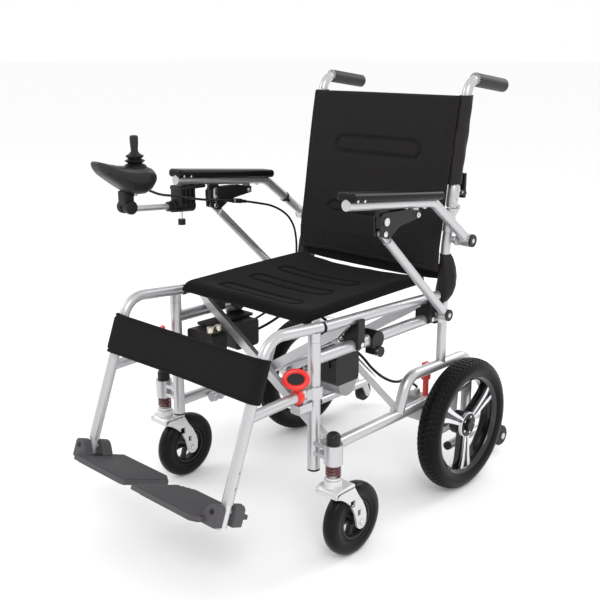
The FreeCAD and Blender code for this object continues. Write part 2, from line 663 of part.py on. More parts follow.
def leg_tube():
    """Sliding inner leg tube with the footplate's pivot pin and an end plug."""
    run, front = leg_run(), leg_front()
    length = (vec(0, *LEG_FOOT) - vec(0, *LEG_TOP)).Length - LEG_INNER
    inner = Part.makeCylinder(9.0, length, leg_point(LEG_INNER), run)
    plug = Part.makeCylinder(10.0, 8, leg_point(LEG_INNER + length - 6), run)
    pin = Part.makeCylinder(4.0, 56, leg_point(PLATE_PIVOT) - front * 28, front)
    return weld([inner, plug, pin])


def footplate():
    """Ribbed footplate, square to the leg, hung on two lugs beside the tube."""
    run = leg_run()
    tilt = math.degrees(math.atan2(-run.y, -run.z))
    front_y, back_y = PLATE_BACK - PLATE_DEEP / 2, PLATE_BACK + PLATE_DEEP / 2
    low, high = PLATE_DROP
    plan = [
        (PLATE_X[0], front_y),
        (PLATE_X[1] - 16, front_y),
        (PLATE_X[1], front_y + 18),
        (PLATE_X[1], back_y),
        (PLATE_X[0] + 36, back_y),
        (PLATE_X[0], back_y - 26),
    ]
    corners = [vec(px, py, low) for px, py in plan]
    slab = Part.Face(Part.makePolygon(corners + corners[:1])).extrude(vec(0, 0, high - low - 3))
    parts = [softened(slab, 5.0, along(2))]
    ribs = 9
    for k in range(ribs):
        y = front_y + PLATE_DEEP * (k + 0.7) / ribs
        start = PLATE_X[0] + 10 + max(0.0, (y - back_y + 30) * 1.4)
        parts.append(block((start, PLATE_X[1] - 10), (y - 3, y + 3), (high - 4, high)))
    for side in (-1, 1):
        span = sorted((side * 12.5, side * 32.0))
        arm = block((PLATE_X[1] - 14, FRAME_X - 11), span, (low, 0))
        foot = block((PLATE_X[1] - 14, FRAME_X), span, (-11, 0))
        boss = rod((FRAME_X, span[0], 0), (FRAME_X, span[1], 0), 11.0)
        parts += [arm, foot, boss]
    body = weld(parts, [rod((FRAME_X, -40, 0), (FRAME_X, 40, 0), 4.0 + RUN_GAP)])
    body.rotate(ORIGIN, vec(1, 0, 0), -tilt)
    pivot = leg_point(PLATE_PIVOT)
    body.translate(vec(0, pivot.y, pivot.z))
    return body


# ---------------------------------------------------------------- upholstery
def seat_upholstery():
    """Padded sling between the two seat rails."""
    (y0, z0), (y1, z1) = SEAT_RAIL_FRONT, SEAT_RAIL_REAR
    profile = [(y0 - 16, z0 - 1), (y0 - 16, z0 + 12), (y0 + 14, z0 + 25), (y0 + 250, z0 + 36),
               (y1 - 8, z1 + 43), (y1 - 8, z1)]
    corners = [vec(-187, y, z) for y, z in profile]
    pad = Part.Face(Part.makePolygon(corners + corners[:1])).extrude(vec(374, 0, 0))
    return softened(pad, 5.0, along(0))


def back_panel(low, high):
    """Part of the back sling between two heights, in front of the canes."""
    corners = []
    for z, out in ((low, -36.0), (high, -36.0), (high, -13.6), (low, -13.6)):
        corners.append(vec(-216, cane_y(z) + out, z))
    pad = Part.Face(Part.makePolygon(corners + corners[:1])).extrude(vec(432, 0, 0))
    return softened(pad, 6.0, along(0))


def calf_strap():
    """Padded calf strap across the fronts of the leg tubes."""
    run, front = leg_run(), leg_front()
    start = leg_point(2) + vec(-FRAME_X - 216, 0, 0) + front * (CANE_R + 0.6)
    corners = [start, start + run * 82, start + run * 82 + front * 11, start + front * 11]
    pad = Part.Face(Part.makePolygon(corners + corners[:1])).extrude(vec(432, 0, 0))
    return softened(pad, 4.0, along(0))


# ---------------------------------------------------------------- joystick control
def controller_housing():
    """Shell of the hand control: a boat-shaped box with a sloping top."""
    x, y, z = STICK
    side = [(y + 41, z - 31), (y + 34, z - 9), (y - 56, z + 5), (y - 98, z + 15), (y - 92, z - 5),
            (y - 64, z - 29), (y - 28, z - 55), (y + 16, z - 60), (y + 32, z - 50)]
    corners = [vec(x - 34, sy, sz) for sy, sz in side]
    shell = Part.Face(Part.makePolygon(corners + corners[:1])).extrude(vec(68, 0, 0))
    shell = softened(shell, 5.0, along(0))
    rims = [e for e in shell.Edges if e.BoundBox.XLength < 1e-6]
    shell = shell.makeFillet(4.0, rims)
    well = rod((x, y, z - 36), (x, y, z + 30), 28.5)
    pin = rod((x - 31.2, y, z - 27), (x + 31.2, y, z - 27), 2.5 + RUN_GAP)
    return shell.cut(well).cut(pin)


def joystick_gimbal():
    """Ring inside the control, on a pin from side to side, with bores for the stick's own pin."""
    x, y, z = STICK
    yoke = ring((x, y, z - 31), (x, y, z - 23), 15.0, 9.0)
    pin = rod((x - 31, y, z - 27), (x + 31, y, z - 27), 2.5)
    clear = rod((x, y, z - 40), (x, y, z), 9.0)
    bore = rod((x, y - 20, z - 27), (x, y + 20, z - 27), 1.5 + RUN_GAP)
    return weld([yoke, pin.cut(clear)], [bore])


def joystick_lever():
    """Stick with its cross pin and knob, and the stepped bellows round it."""
    x, y, z = STICK
    stick = rod((x, y, z - 32), (x, y, z + 50), 4.0)
    heart = rod((x, y - 6, z - 27), (x, y + 6, z - 27), 6.0)
    pin = rod((x, y - 14, z - 27), (x, y + 14, z - 27), 1.5)
    knob = Part.makeCone(7.0, 9.5, 8, vec(x, y, z + 22))
    crown = softened(rod((x, y, z + 30), (x, y, z + 59), 9.5), 3.5, lambda e: abs(e.BoundBox.ZMin - z - 59) < 0.01)
    bellows = turned_z([(4.3, -6), (16, -6), (19.5, -3), (16, 0), (19, 5), (14, 9), (16, 13), (11, 17),
                        (12, 20), (4.3, 21.5)], (x, y, z))
    return together(weld([stick, heart, pin, knob, crown]), bellows)


def turned_z(outline, centre):
    """A solid of revolution about Z from (radius, z) points."""
    corners = [vec(r, 0, h) for r, h in outline]
    face = Part.Face(Part.makePolygon(corners + corners[:1]))
    body = face.revolve(ORIGIN, vec(0, 0, 1), 360)
    body.translate(FreeCAD.Vector(*centre))
    return body


def controller_arm():
    """Square-cut support tube under the hand control, with the knuckle that holds it."""
    x = CONTROL_X
    tube = rod((x, -532, TUBE_FRONT[1] - 0.6), (x, *TUBE_REAR), 7.0)
    knuckle = rod((x - 12, -538, 665), (x + 20, -538, 665), 14.0)
    neck = block((x - 8, x + 16), (-551, -528), (672, 712)).cut(controller_housing())
    return weld([tube, knuckle, neck])


def controller_clamp():
    """Sleeve and ribbed bracket that hold the support tube under the armrest's front."""
    x = CONTROL_X
    bore = rod((x, -560, 661.5), (x, -330, 644.4), 7.05)
    sleeve = softened(block((x - 14, x + 14), (-418, -354), (635, 663)), 4.0, along(1))
    bracket = softened(block((x - 8, x + 26), (-412, -368), (661, 706)), 3.0, along(1))
    front = (-480.0, ARM_FRONT[1] + (ARM_FRONT[1] - ARM_BEND[1]) * 64 / 274)
    tube = swept(in_plane(-ARM_X, [ARM_PIVOT, ARM_BEND, front]), 60.0, CANE_R + 0.05)
    nut = rod((x, -388, 625), (x, -388, 637), 7.0)
    screw = rod((x, -388, 600), (x, -388, 643), 3.05)
    return weld([sleeve, bracket, nut], [tube, bore, screw])


def clamp_knob():
    """Thumb screw that locks the support tube."""
    x, y = CONTROL_X, -388.0
    shaft = rod((x, y, 613), (x, y, 641), 3.0)
    head = rod((x, y, 606), (x, y, 619), 8.5)
    for k in range(6):
        angle = math.radians(60 * k)
        spot = (x + 10 * math.cos(angle), y + 10 * math.sin(angle))
        head = head.cut(rod((*spot, 605), (*spot, 620), 2.3))
    return weld([shaft, head])


# ---------------------------------------------------------------- cables
def cable(points, radius):
    """A tube of straight runs and arcs, each arc as large as its runs allow."""
    bends = []
    spots = [FreeCAD.Vector(*p) for p in points]
    for before, here, after in zip(spots, spots[1:], spots[2:]):
        u, w = before - here, after - here
        turn = math.pi - u.getAngle(w)
        bends.append(0.45 * min(u.Length, w.Length) / math.tan(turn / 2))
    print("cable bends, mm:", [round(b, 1) for b in bends])
    return swept(points, bends, radius)


CONTROL_CABLE = [
    (-248, -487, 696), (-242, -462, 684), (-230, -430, 679), (-226, -392, 670), (-225, -347, 661),
    (-225, -300, 655), (-225, -252, 648), (-225, -214, 641), (-225, -175, 632), (-225, -142, 624),
    (-225, -108, 609), (-225, -78, 588), (-225, -58, 558), (-226, -50, 522), (-228, -48, 484),
    (-224, -58, 452), (-206, -66, 442), (-188, -73, 435), (-180, -92, 414),
    (-179, -120, 399), (-180, -156, 391), (-178, -194, 383), (-174, -236, 374), (-170, -282.4, 368),
]
MOTOR_CABLE = [
    (118, 6, 206), (116, -14, 222), (120, -38, 236), (129, -64, 247), (136, -92, 250), (133, -116, 257),
    (117, -131, 268), (92, -137, 284), (65, -136, 304), (37, -139, 321), (9, -138, 341), (-15, -141, 354),
    (-39, -144, 372), (-61, -154, 386), (-80, -170, 397), (-101, -190, 399), (-118, -210, 388),
    (-130, -242, 370), (-136, -282.4, 360),
]


def main():
    os.makedirs("parts", exist_ok=True)
    write("left_side_frame", side_frame(BRACE_A_Y))
    write("right_side_frame", mirrored(side_frame(BRACE_B_Y)))
    write("left_frame_fittings", frame_fittings())
    case = softened(block((-192, -108), (-440, -398), (346, 390)), 8.0, along(1))
    glands = [rod((-126, -430 + 22 * k, 388), (-126, -430 + 22 * k, 402), 8.0) for k in (0, 1)]
    write("right_frame_fittings", together(mirrored(frame_fittings()), weld([case, *glands])))
    write("brace_a", brace(BRACE_A_Y, True))
    write("brace_b", mirrored(brace(BRACE_B_Y, False)))
    write_pair("drive_motor", drive_motor())
    write_pair("freewheel_lever", freewheel_lever())
    write_pair("drive_tyre", tyre(DRIVE_R, 112.0, DRIVE_HALF, (DRIVE_X, 0, DRIVE_R)))
    write_pair("drive_rim", drive_rim())
    write_pair("caster_stem", caster_stem())
    write_pair("caster_spring", caster_spring())
    write_pair("caster_fork", caster_fork())
    write_pair("caster_wheel", caster_wheel())
    write_pair("anti_tip_wheel", tipper_wheel())
    write("left_battery_pack", battery_pack(BATTERY_FRONT[0]))
    write("right_battery_pack", mirrored(battery_pack(BATTERY_FRONT[1])))
    write_pair("upper_cane", upper_cane())
    write_pair("back_lever", back_lever())
    write_pair("armrest", armrest())
    write_pair("armrest_pad", armrest_pad())
    write_pair("latch_bracket", latch_bracket())
    write_pair("latch_button", latch_button())
    write_pair("armrest_strut", armrest_strut())
    write_pair("hanger", hanger())
    write_pair("hanger_lever", hanger_lever())
    write_pair("leg_tube", leg_tube())
    write_pair("footplate", footplate())
    write("seat_upholstery", seat_upholstery())
    write("back_upholstery_lower", back_panel(514.0, 650.0))
    write("back_upholstery_upper", back_panel(654.0, 893.0))
    write("calf_strap", calf_strap())
    write("controller_housing", controller_housing())
    write("joystick_gimbal", joystick_gimbal())
    write("joystick_lever", joystick_lever())
    write("controller_arm", controller_arm())
    write("controller_clamp", controller_clamp())
    write("clamp_knob", clamp_knob())
    write("controller_cable", cable(CONTROL_CABLE, 2.75))
    write("motor_cable", cable(MOTOR_CABLE, 3.25))


main()
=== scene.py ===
import math

import bmesh
import bpy
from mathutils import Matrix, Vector


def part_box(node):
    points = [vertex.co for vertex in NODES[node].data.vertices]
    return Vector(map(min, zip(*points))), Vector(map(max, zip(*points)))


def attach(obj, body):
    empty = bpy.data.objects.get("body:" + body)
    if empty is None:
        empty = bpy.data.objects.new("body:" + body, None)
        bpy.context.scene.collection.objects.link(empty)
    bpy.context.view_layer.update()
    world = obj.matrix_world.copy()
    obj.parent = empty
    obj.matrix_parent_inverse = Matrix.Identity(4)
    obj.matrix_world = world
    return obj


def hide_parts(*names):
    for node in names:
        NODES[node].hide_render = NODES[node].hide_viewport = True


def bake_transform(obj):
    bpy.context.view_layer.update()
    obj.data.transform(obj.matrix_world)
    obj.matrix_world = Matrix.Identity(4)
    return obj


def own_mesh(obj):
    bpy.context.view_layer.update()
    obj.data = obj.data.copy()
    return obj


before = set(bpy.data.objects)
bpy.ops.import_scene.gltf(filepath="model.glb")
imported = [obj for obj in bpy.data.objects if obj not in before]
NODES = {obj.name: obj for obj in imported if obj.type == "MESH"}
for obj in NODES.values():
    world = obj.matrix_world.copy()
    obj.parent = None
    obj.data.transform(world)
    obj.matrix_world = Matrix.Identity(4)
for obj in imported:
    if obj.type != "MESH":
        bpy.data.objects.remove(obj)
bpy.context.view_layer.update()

# ------------------------------------------------------------------ where things are
_low, _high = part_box("left_drive_tyre")
SHIFT = (_low.y + _high.y) / 2          # the drive axle's y in the row frame
FRAME_X = 206.0                         # side frames and back canes
ARM_X = 244.0                           # armrests
DRIVE = (252.6, 0.0, 154.0)             # the left drive wheel's centre
CASTER = (258.0, -403.0, 77.0)          # the left caster wheel's centre
STICK = (-248.0, -519.0, 752.0)         # the joystick, at the height of the control's top
CONTROL_X = -261.0                      # support tube of the hand control


def at(x, y, z):
    """Millimetres from the floor under the drive axle, as metres in the row frame."""
    return Vector((x / 1000, y / 1000 + SHIFT, z / 1000))


# ------------------------------------------------------------------ camera
camera = bpy.data.objects.new("camera", bpy.data.cameras.new("camera"))
bpy.context.scene.collection.objects.link(camera)
camera.data.lens = 54.2
camera.data.sensor_width = 36.0
AZIMUTH, ELEVATION = math.radians(43.1), math.radians(15.6)
camera.location = at(1301.0, -1668.8, 988.9)
camera.rotation_euler = (math.pi / 2 - ELEVATION, 0, AZIMUTH)
bpy.context.scene.camera = camera


# ------------------------------------------------------------------ materials
def material(name, color, rough=0.5, metal=0.0, bump=None, coat=0.0, sheen=0.0, shine=0.5):
    """A Principled material.  bump is (scale, strength) of a fine noise."""
    made = bpy.data.materials.new(name)
    made.use_nodes = True
    nodes, links = made.node_tree.nodes, made.node_tree.links
    shader = nodes["Principled BSDF"]
    shader.inputs["Base Color"].default_value = (*color, 1)
    shader.inputs["Roughness"].default_value = rough
    shader.inputs["Metallic"].default_value = metal
    shader.inputs["IOR"].default_value = 1.5
    shader.inputs["Specular IOR Level"].default_value = shine
    shader.inputs["Coat Weight"].default_value = coat
    shader.inputs["Coat Roughness"].default_value = 0.08
    shader.inputs["Sheen Weight"].default_value = sheen
    shader.inputs["Sheen Roughness"].default_value = 0.5
    where = nodes.new("ShaderNodeTexCoord")
    if bump:
        noise = nodes.new("ShaderNodeTexNoise")
        noise.inputs["Scale"].default_value = bump[0]
        noise.inputs["Detail"].default_value = 3
        push = nodes.new("ShaderNodeBump")
        push.inputs["Strength"].default_value = bump[1]
        push.inputs["Distance"].default_value = 0.0006
        links.new(where.outputs["Object"], noise.inputs["Vector"])
        links.new(noise.outputs["Fac"], push.inputs["Height"])
        links.new(push.outputs["Normal"], shader.inputs["Normal"])
    return made


WEAVE_SCALE = 900.0                     # holes of the spacer mesh per metre


def mesh_fabric(name, dark, light):
    """Black spacer mesh: a fine field of small holes."""
    made = material(name, dark, rough=0.85, sheen=0.03, shine=0.06)
    nodes, links = made.node_tree.nodes, made.node_tree.links
    shader = nodes["Principled BSDF"]
    where = nodes["Texture Coordinate"]
    cells = nodes.new("ShaderNodeTexVoronoi")
    cells.inputs["Scale"].default_value = WEAVE_SCALE
    cells.inputs["Randomness"].default_value = 0.25
    mix = nodes.new("ShaderNodeMix")
    mix.data_type = "RGBA"
    mix.inputs[6].default_value = (*dark, 1)
    mix.inputs[7].default_value = (*light, 1)
    push = nodes.new("ShaderNodeBump")
    push.inputs["Strength"].default_value = 0.45
    push.inputs["Distance"].default_value = 0.0005
    links.new(where.outputs["Object"], cells.inputs["Vector"])
    links.new(cells.outputs["Distance"], mix.inputs[0])
    links.new(mix.outputs[2], shader.inputs["Base Color"])
    links.new(cells.outputs["Distance"], push.inputs["Height"])
    links.new(push.outputs["Normal"], shader.inputs["Normal"])
    return made


SILVER = material("silver_paint", (0.53, 0.53, 0.545), rough=0.33, metal=0.75, bump=(900, 0.03), coat=0.25)
WHITE_SILVER = material("cast_paint", (0.64, 0.64, 0.65), rough=0.38, metal=0.5, bump=(700, 0.05), coat=0.2)
STEEL = material("bright_steel", (0.66, 0.66, 0.67), rough=0.2, metal=1.0)
ZINC = material("zinc_steel", (0.55, 0.55, 0.56), rough=0.32, metal=1.0, bump=(500, 0.1))
BRASS_NICKEL = material("nickel_gland", (0.66, 0.62, 0.50), rough=0.2, metal=1.0)
BLACK = material("black_plastic", (0.007, 0.007, 0.008), rough=0.42, bump=(1400, 0.12), shine=0.3)
BLACK_SOFT = material("soft_black", (0.009, 0.009, 0.010), rough=0.5, bump=(1800, 0.2), shine=0.25)
CONTROL = material("control_plastic", (0.012, 0.0115, 0.013), rough=0.4, bump=(2200, 0.1), shine=0.35,
                   coat=0.05)
# painted shade: the floor of the grooves between the foot plate's ribs is far darker than the plate
PLATE_GROOVE_SHADE = material("plate_groove_shade", (0.014, 0.013, 0.0145), rough=0.6, shine=0.2)
PLATE = material("plate_plastic", (0.068, 0.064, 0.069), rough=0.55, bump=(1600, 0.2), shine=0.3)
RED = material("red_plastic", (0.72, 0.018, 0.012), rough=0.3, coat=0.2, shine=0.4)
DARK_RED = material("spring_red", (0.085, 0.004, 0.008), rough=0.26, coat=0.5)
TYRE = material("tyre_rubber", (0.004, 0.004, 0.0045), rough=0.36, bump=(700, 0.12), shine=0.12)
CASTER_RUBBER = material("caster_rubber", (0.004, 0.004, 0.0045), rough=0.3, bump=(500, 0.08), shine=0.15)
RIM_BLACK = material("rim_black", (0.005, 0.005, 0.0055), rough=0.14, coat=0.35, shine=0.4)
RIM_FACE = material("rim_machined", (0.72, 0.73, 0.76), rough=0.2, metal=1.0)
GRIP = material("grip_rubber", (0.016, 0.016, 0.018), rough=0.5, bump=(1200, 0.25), shine=0.3)
PAD = material("pad_skin", (0.006, 0.006, 0.007), rough=0.32, bump=(900, 0.06), shine=0.15)
MOTOR = material("motor_paint", (0.36, 0.36, 0.37), rough=0.36, metal=0.75, bump=(500, 0.08))
FABRIC = mesh_fabric("mesh_fabric", (0.0105, 0.0095, 0.0102), (0.0225, 0.0205, 0.0217))
WOVEN = material("woven_edge", (0.007, 0.0065, 0.007), rough=0.8, bump=(2400, 0.5), shine=0.1)
SEAT_FABRIC = mesh_fabric("seat_fabric", (0.0038, 0.0034, 0.0037), (0.0095, 0.0086, 0.0091))
STRAP_FABRIC = mesh_fabric("strap_fabric", (0.0055, 0.0050, 0.0054), (0.0150, 0.0137, 0.0145))
SLEEVE = material("sleeve_cloth", (0.014, 0.0115, 0.012), rough=0.62, bump=(2400, 0.3), shine=0.2, sheen=0.04)
CABLE = material("cable_skin", (0.006, 0.006, 0.006), rough=0.4, shine=0.35)
TAN = material("tan_band", (0.30, 0.22, 0.14), rough=0.5)


def dress(node, skin):
    """A CAD node takes one material."""
    slots = NODES[node].data.materials
    slots.clear()
    slots.append(skin)


def dress_where(node, skin, pick):
    """Faces of a CAD node whose middle passes the test, in working millimetres, take another material."""
    data = NODES[node].data
    data.materials.append(skin)
    index = len(data.materials) - 1
    for face in data.polygons:
        c = face.center
        if pick(abs(c.x) * 1000, (c.y - SHIFT) * 1000, c.z * 1000):
            face.material_index = index


# ------------------------------------------------------------------ mesh helpers
def smooth_faces(piece):
    piece.data.polygons.foreach_set("use_smooth", [True] * len(piece.data.polygons))


def new_mesh(name, verts, faces, skin, smooth=True):
    """An object from points in metres and faces, with its material."""
    data = bpy.data.meshes.new(name)
    data.from_pydata([tuple(v) for v in verts], [], faces)
    data.update()
    data.materials.append(skin)
    piece = bpy.data.objects.new(name, data)
    bpy.context.scene.collection.objects.link(piece)
    if smooth:
        smooth_faces(piece)
    return piece


def sharp(piece, angle=35.0):
    """Marks the edges that stay crisp: those whose two faces meet above an angle in degrees."""
    limit = math.radians(angle)
    face_normals = {}
    data = piece.data
    for face in data.polygons:
        for key in face.edge_keys:
            face_normals.setdefault(key, []).append(face.normal.copy())
    for edge in data.edges:
        normals = face_normals.get(edge.key, [])
        if len(normals) == 2 and normals[0].angle(normals[1], 0) > limit:
            edge.use_edge_sharp = True
    return piece


def grid_faces(rows, columns, closed_rows=False, closed_columns=False, start=0):
    """Four-sided faces over rows and columns of points, which may close on themselves."""
    faces = []
    for i in range(rows if closed_rows else rows - 1):
        for j in range(columns if closed_columns else columns - 1):
            a = start + i * columns + j
            b = start + i * columns + (j + 1) % columns
            c = start + ((i + 1) % rows) * columns + (j + 1) % columns
            d = start + ((i + 1) % rows) * columns + j
            faces.append((a, b, c, d))
    return faces


def closed_tube_faces(rows, columns):
    """Faces of a tube whose points go round each row, with both ends closed."""
    faces = grid_faces(rows, columns, False, True)
    faces.append(tuple(range(columns)))
    faces.append(tuple((rows - 1) * columns + columns - 1 - j for j in range(columns)))
    return faces


def wheel_mesh(name, profile, centre, skin, segments=96, radius_of=None):
    """A ring turned about X through a centre, from closed (x, radius) points.

    radius_of(x, radius, angle) may change a point's radius as it goes round.
    """
    verts = []
    for i in range(segments):
        angle = 2 * math.pi * i / segments
        for x, radius in profile:
            r = radius_of(x, radius, angle) if radius_of else radius
            y, z = centre[1] + r * math.sin(angle), centre[2] + r * math.cos(angle)
            verts.append(at(centre[0] + x, y, z))
    faces = grid_faces(segments, len(profile), True, True)
    return sharp(new_mesh(name, verts, faces, skin), 40)


def lathe(name, profile, centre, skin, segments=48):
    """A solid turned about Z through a centre, from (radius, z) points that start and end on the axis."""
    verts = []
    for i in range(segments):
        angle = 2 * math.pi * i / segments
        for radius, z in profile:
            x, y = centre[0] + radius * math.cos(angle), centre[1] + radius * math.sin(angle)
            verts.append(at(x, y, centre[2] + z))
    faces = grid_faces(segments, len(profile), True, False)
    faces.append(tuple(i * len(profile) for i in range(segments)))
    faces.append(tuple((segments - 1 - i) * len(profile) + len(profile) - 1 for i in range(segments)))
    return sharp(new_mesh(name, verts, faces, skin), 40)


def join(name, pieces):
    """One object of several."""
    bpy.ops.object.select_all(action="DESELECT")
    for piece in pieces:
        piece.select_set(True)
    bpy.context.view_layer.objects.active = pieces[0]
    bpy.ops.object.join()
    pieces[0].name = name
    pieces[0].data.name = name
    return pieces[0]


def bar(name, corners, low, high, skin, bevel=0.0, axis=0, place=at):
    """A prism: a polygon in the plane across an axis, between two values along it."""
    def spot(p, h):
        values = list(p)
        values.insert(axis, h)
        return place(*values)
    n = len(corners)
    verts = [spot(p, low) for p in corners] + [spot(p, high) for p in corners]
    faces = [tuple(range(n)), tuple(range(2 * n - 1, n - 1, -1))]
    faces += [(i, i + n, (i + 1) % n + n, (i + 1) % n) for i in range(n)]
    piece = new_mesh(name, verts, faces, skin, smooth=False)
    fix_normals(piece)
    if bevel:
        soften(piece, bevel)
    return piece


def fix_normals(piece, merge=False):
    """Turns every face outwards, and first merges points that lie together."""
    bm = bmesh.new()
    bm.from_mesh(piece.data)
    if merge:
        bmesh.ops.remove_doubles(bm, verts=bm.verts, dist=1e-6)
    bmesh.ops.recalc_face_normals(bm, faces=bm.faces)
    bm.to_mesh(piece.data)
    bm.free()


def soften(piece, width, segments=3, angle=30.0):
    """Rounds the piece's hard edges by a width in millimetres."""
    modifier = piece.modifiers.new("bevel", "BEVEL")
    modifier.width = width / 1000
    modifier.segments = segments
    modifier.limit_method = "ANGLE"
    modifier.angle_limit = math.radians(angle)
    apply_modifiers(piece)
    smooth_faces(piece)
    sharp(piece, 50)


def apply_modifiers(piece):
    """Turns a piece's modifiers into its mesh."""
    depsgraph = bpy.context.evaluated_depsgraph_get()
    made = bpy.data.meshes.new_from_object(piece.evaluated_get(depsgraph))
    piece.modifiers.clear()
    piece.data = made


def cylinder(name, centre, direction, length, radius, skin, segments=32, bevel=0.0):
    """A round plug centred on a point in working millimetres."""
    bpy.ops.mesh.primitive_cylinder_add(vertices=segments, radius=radius / 1000, depth=length / 1000)
    piece = bpy.context.object
    piece.name = name
    piece.rotation_mode = "QUATERNION"
    piece.rotation_quaternion = Vector(direction).to_track_quat("Z", "Y")
    piece.location = at(*centre)
    bpy.ops.object.transform_apply(location=True, rotation=True, scale=True)
    piece.data.materials.append(skin)
    if bevel:
        soften(piece, bevel)
    else:
        smooth_faces(piece)
        sharp(piece, 40)
    return piece


def tube_piece(start, end, radius, skin, bevel=0.8):
    """A round bar between two points in working millimetres."""
    middle = [(a + b) / 2 for a, b in zip(start, end)]
    run = [b - a for a, b in zip(start, end)]
    return cylinder("tube", middle, run, math.hypot(*run), radius, skin, segments=40, bevel=bevel)


def smoothstep(low, high, value):
    """0 below low, 1 above high, and a soft step between."""
    t = max(0.0, min(1.0, (value - low) / (high - low)))
    return t * t * (3 - 2 * t)


def pad_mesh(name, place, rows, columns, thickness, skin, groove=None, edge=0.045, flat=""):
    """A closed stuffed sheet.

    place(u, v) gives the middle surface's point and normal, thickness(u, v) its stuffing in
    millimetres, and groove(u, v) how far the front face is drawn in.  The faces meet in a round edge
    that takes up this share of the sheet, except on a side that flat names ("low" or "high"), which
    is cut square.
    """
    verts = []
    for face_side in (1, -1):
        for i in range(rows):
            for j in range(columns):
                u, v = i / (rows - 1), j / (columns - 1)
                point, normal = place(u, v)
                ends = [v + (1 if flat == "low" else 0), 1 - v + (1 if flat == "high" else 0)]
                rim = min(min(u, 1 - u) / edge, min(ends) / edge, 1.0)
                swell = math.sqrt(max(0.0, 1 - (1 - rim) ** 2))
                h = thickness(u, v) * swell * 0.5
                if groove and face_side > 0:
                    h -= groove(u, v) * swell
                verts.append(point + normal * (h * face_side / 1000))
    faces = grid_faces(rows, columns)
    back = [tuple(reversed(f)) for f in grid_faces(rows, columns, start=rows * columns)]
    if flat:
        j = 0 if flat == "low" else columns - 1
        n = rows * columns
        back += [(i * columns + j, (i + 1) * columns + j, n + (i + 1) * columns + j, n + i * columns + j)
                 for i in range(rows - 1)]
    piece = new_mesh(name, verts, faces + back, skin)
    fix_normals(piece, merge=True)
    return piece


def capsule(u, v, centre, half, radius, aspect):
    """Signed distance to a long round-ended shape along u, in units of v."""
    x = max(0.0, abs(u - centre[0]) - half) * aspect
    return math.hypot(x, v - centre[1]) - radius


def channel(distance, width, depth):
    """How deep a sewn line is, this far from it."""
    return depth * math.exp(-(distance / width) ** 2)


# ------------------------------------------------------------------ CAD nodes' finishes
def dress_all():
    """Every CAD node's main material."""
    paired = {
        "side_frame": SILVER, "frame_fittings": BLACK, "drive_motor": MOTOR, "freewheel_lever": RED,
        "caster_stem": WHITE_SILVER, "caster_spring": DARK_RED, "caster_fork": WHITE_SILVER,
        "anti_tip_wheel": BLACK_SOFT,
        "battery_pack": BLACK, "upper_cane": SILVER, "back_lever": BLACK, "armrest": SILVER,
        "armrest_pad": PAD, "latch_bracket": BLACK, "latch_button": STEEL, "armrest_strut": SILVER,
        "hanger": SILVER,
        "hanger_lever": RED, "leg_tube": WHITE_SILVER, "footplate": PLATE,
    }
    for side in ("left_", "right_"):
        for name, skin in paired.items():
            dress(side + name, skin)
    single = {
        "brace_a": SILVER, "brace_b": SILVER, "joystick_gimbal": ZINC, "controller_arm": SILVER,
        "controller_clamp": BLACK_SOFT, "clamp_knob": BLACK, "controller_cable": CABLE, "motor_cable": CABLE,
    }
    for name, skin in single.items():
        dress(name, skin)


def on_grip(x, y, z):
    """On the push handle's grip, outside the bare tube that drops towards its rear end."""
    return y > 50 and z > 880 and math.hypot(x - FRAME_X, z - 908 - (166 - y) * 0.1333) > 13.2


def on_rail_plug(x, y, z):
    """On the plastic plug in a seat rail's front end."""
    return y < -434.2 and x > 190


dress_all()
for _side in ("left", "right"):
    dress_where(_side + "_upper_cane", GRIP, on_grip)
    # the clamp knob's bright band, the axle's nut and the armrest's catch
    dress_where(_side + "_frame_fittings", STEEL, lambda x, y, z: 225.5 < x < 229 and z < 426 and y > -345)
    dress_where(_side + "_drive_motor", BLACK, lambda x, y, z: x > 268)
    dress_where(_side + "_armrest", BLACK, lambda x, y, z: -324 < y < -292 and z < 690)
# the thumb screw's shaft and the power module's cable glands
dress_where("clamp_knob", STEEL, lambda x, y, z: z > 619.5)
dress_where("right_frame_fittings", BRASS_NICKEL, lambda x, y, z: x < 135 and z > 390.2)
dress_where("brace_a", BLACK, on_rail_plug)
dress_where("brace_b", BLACK, on_rail_plug)


# ------------------------------------------------------------------ wheels
TREAD_HALF, TREAD_DROP = 24.2, 10.4     # the crown's half width, and its fall at the shoulders
TREAD_BLOCKS, TREAD_ROW, TREAD_DEPTH = 72, 6.2, 2.4


def tyre_outline():
    """(x, radius) points round the drive tyre's section."""
    wall = [(-18.0, 112.2), (-21.0, 114.5), (-24.5, 119.0), (-26.8, 125.5), (-27.6, 132.0), (-26.5, 138.5)]
    crown = []
    for i in range(23):
        x = -TREAD_HALF + 2 * TREAD_HALF * i / 22
        crown.append((x, 153.9 - TREAD_DROP * (abs(x) / TREAD_HALF) ** 2.6))
    return wall + crown + [(-x, r) for x, r in reversed(wall)]


def tread(x, radius, angle):
    """Blocks cut into the crown and the shoulders, in staggered rows."""
    if radius < 141:
        return radius
    rows = abs(x) / TREAD_ROW
    row = int(rows)
    pitch = angle / (2 * math.pi) * TREAD_BLOCKS + 0.5 * (row % 2) + 0.035 * abs(x)
    cross = abs((pitch % 1.0) - 0.5) > 0.36
    along_groove = abs(rows - round(rows)) < 0.14 and row > 0
    return radius - (TREAD_DEPTH if cross or along_groove else 0.0)


def spun(corners, centre, turn):
    """(y, z) corners turned about X and moved to a wheel's centre."""
    c, s = math.cos(turn), math.sin(turn)
    return [(centre[1] + (y * c - z * s), centre[2] + (y * s + z * c)) for y, z in corners]


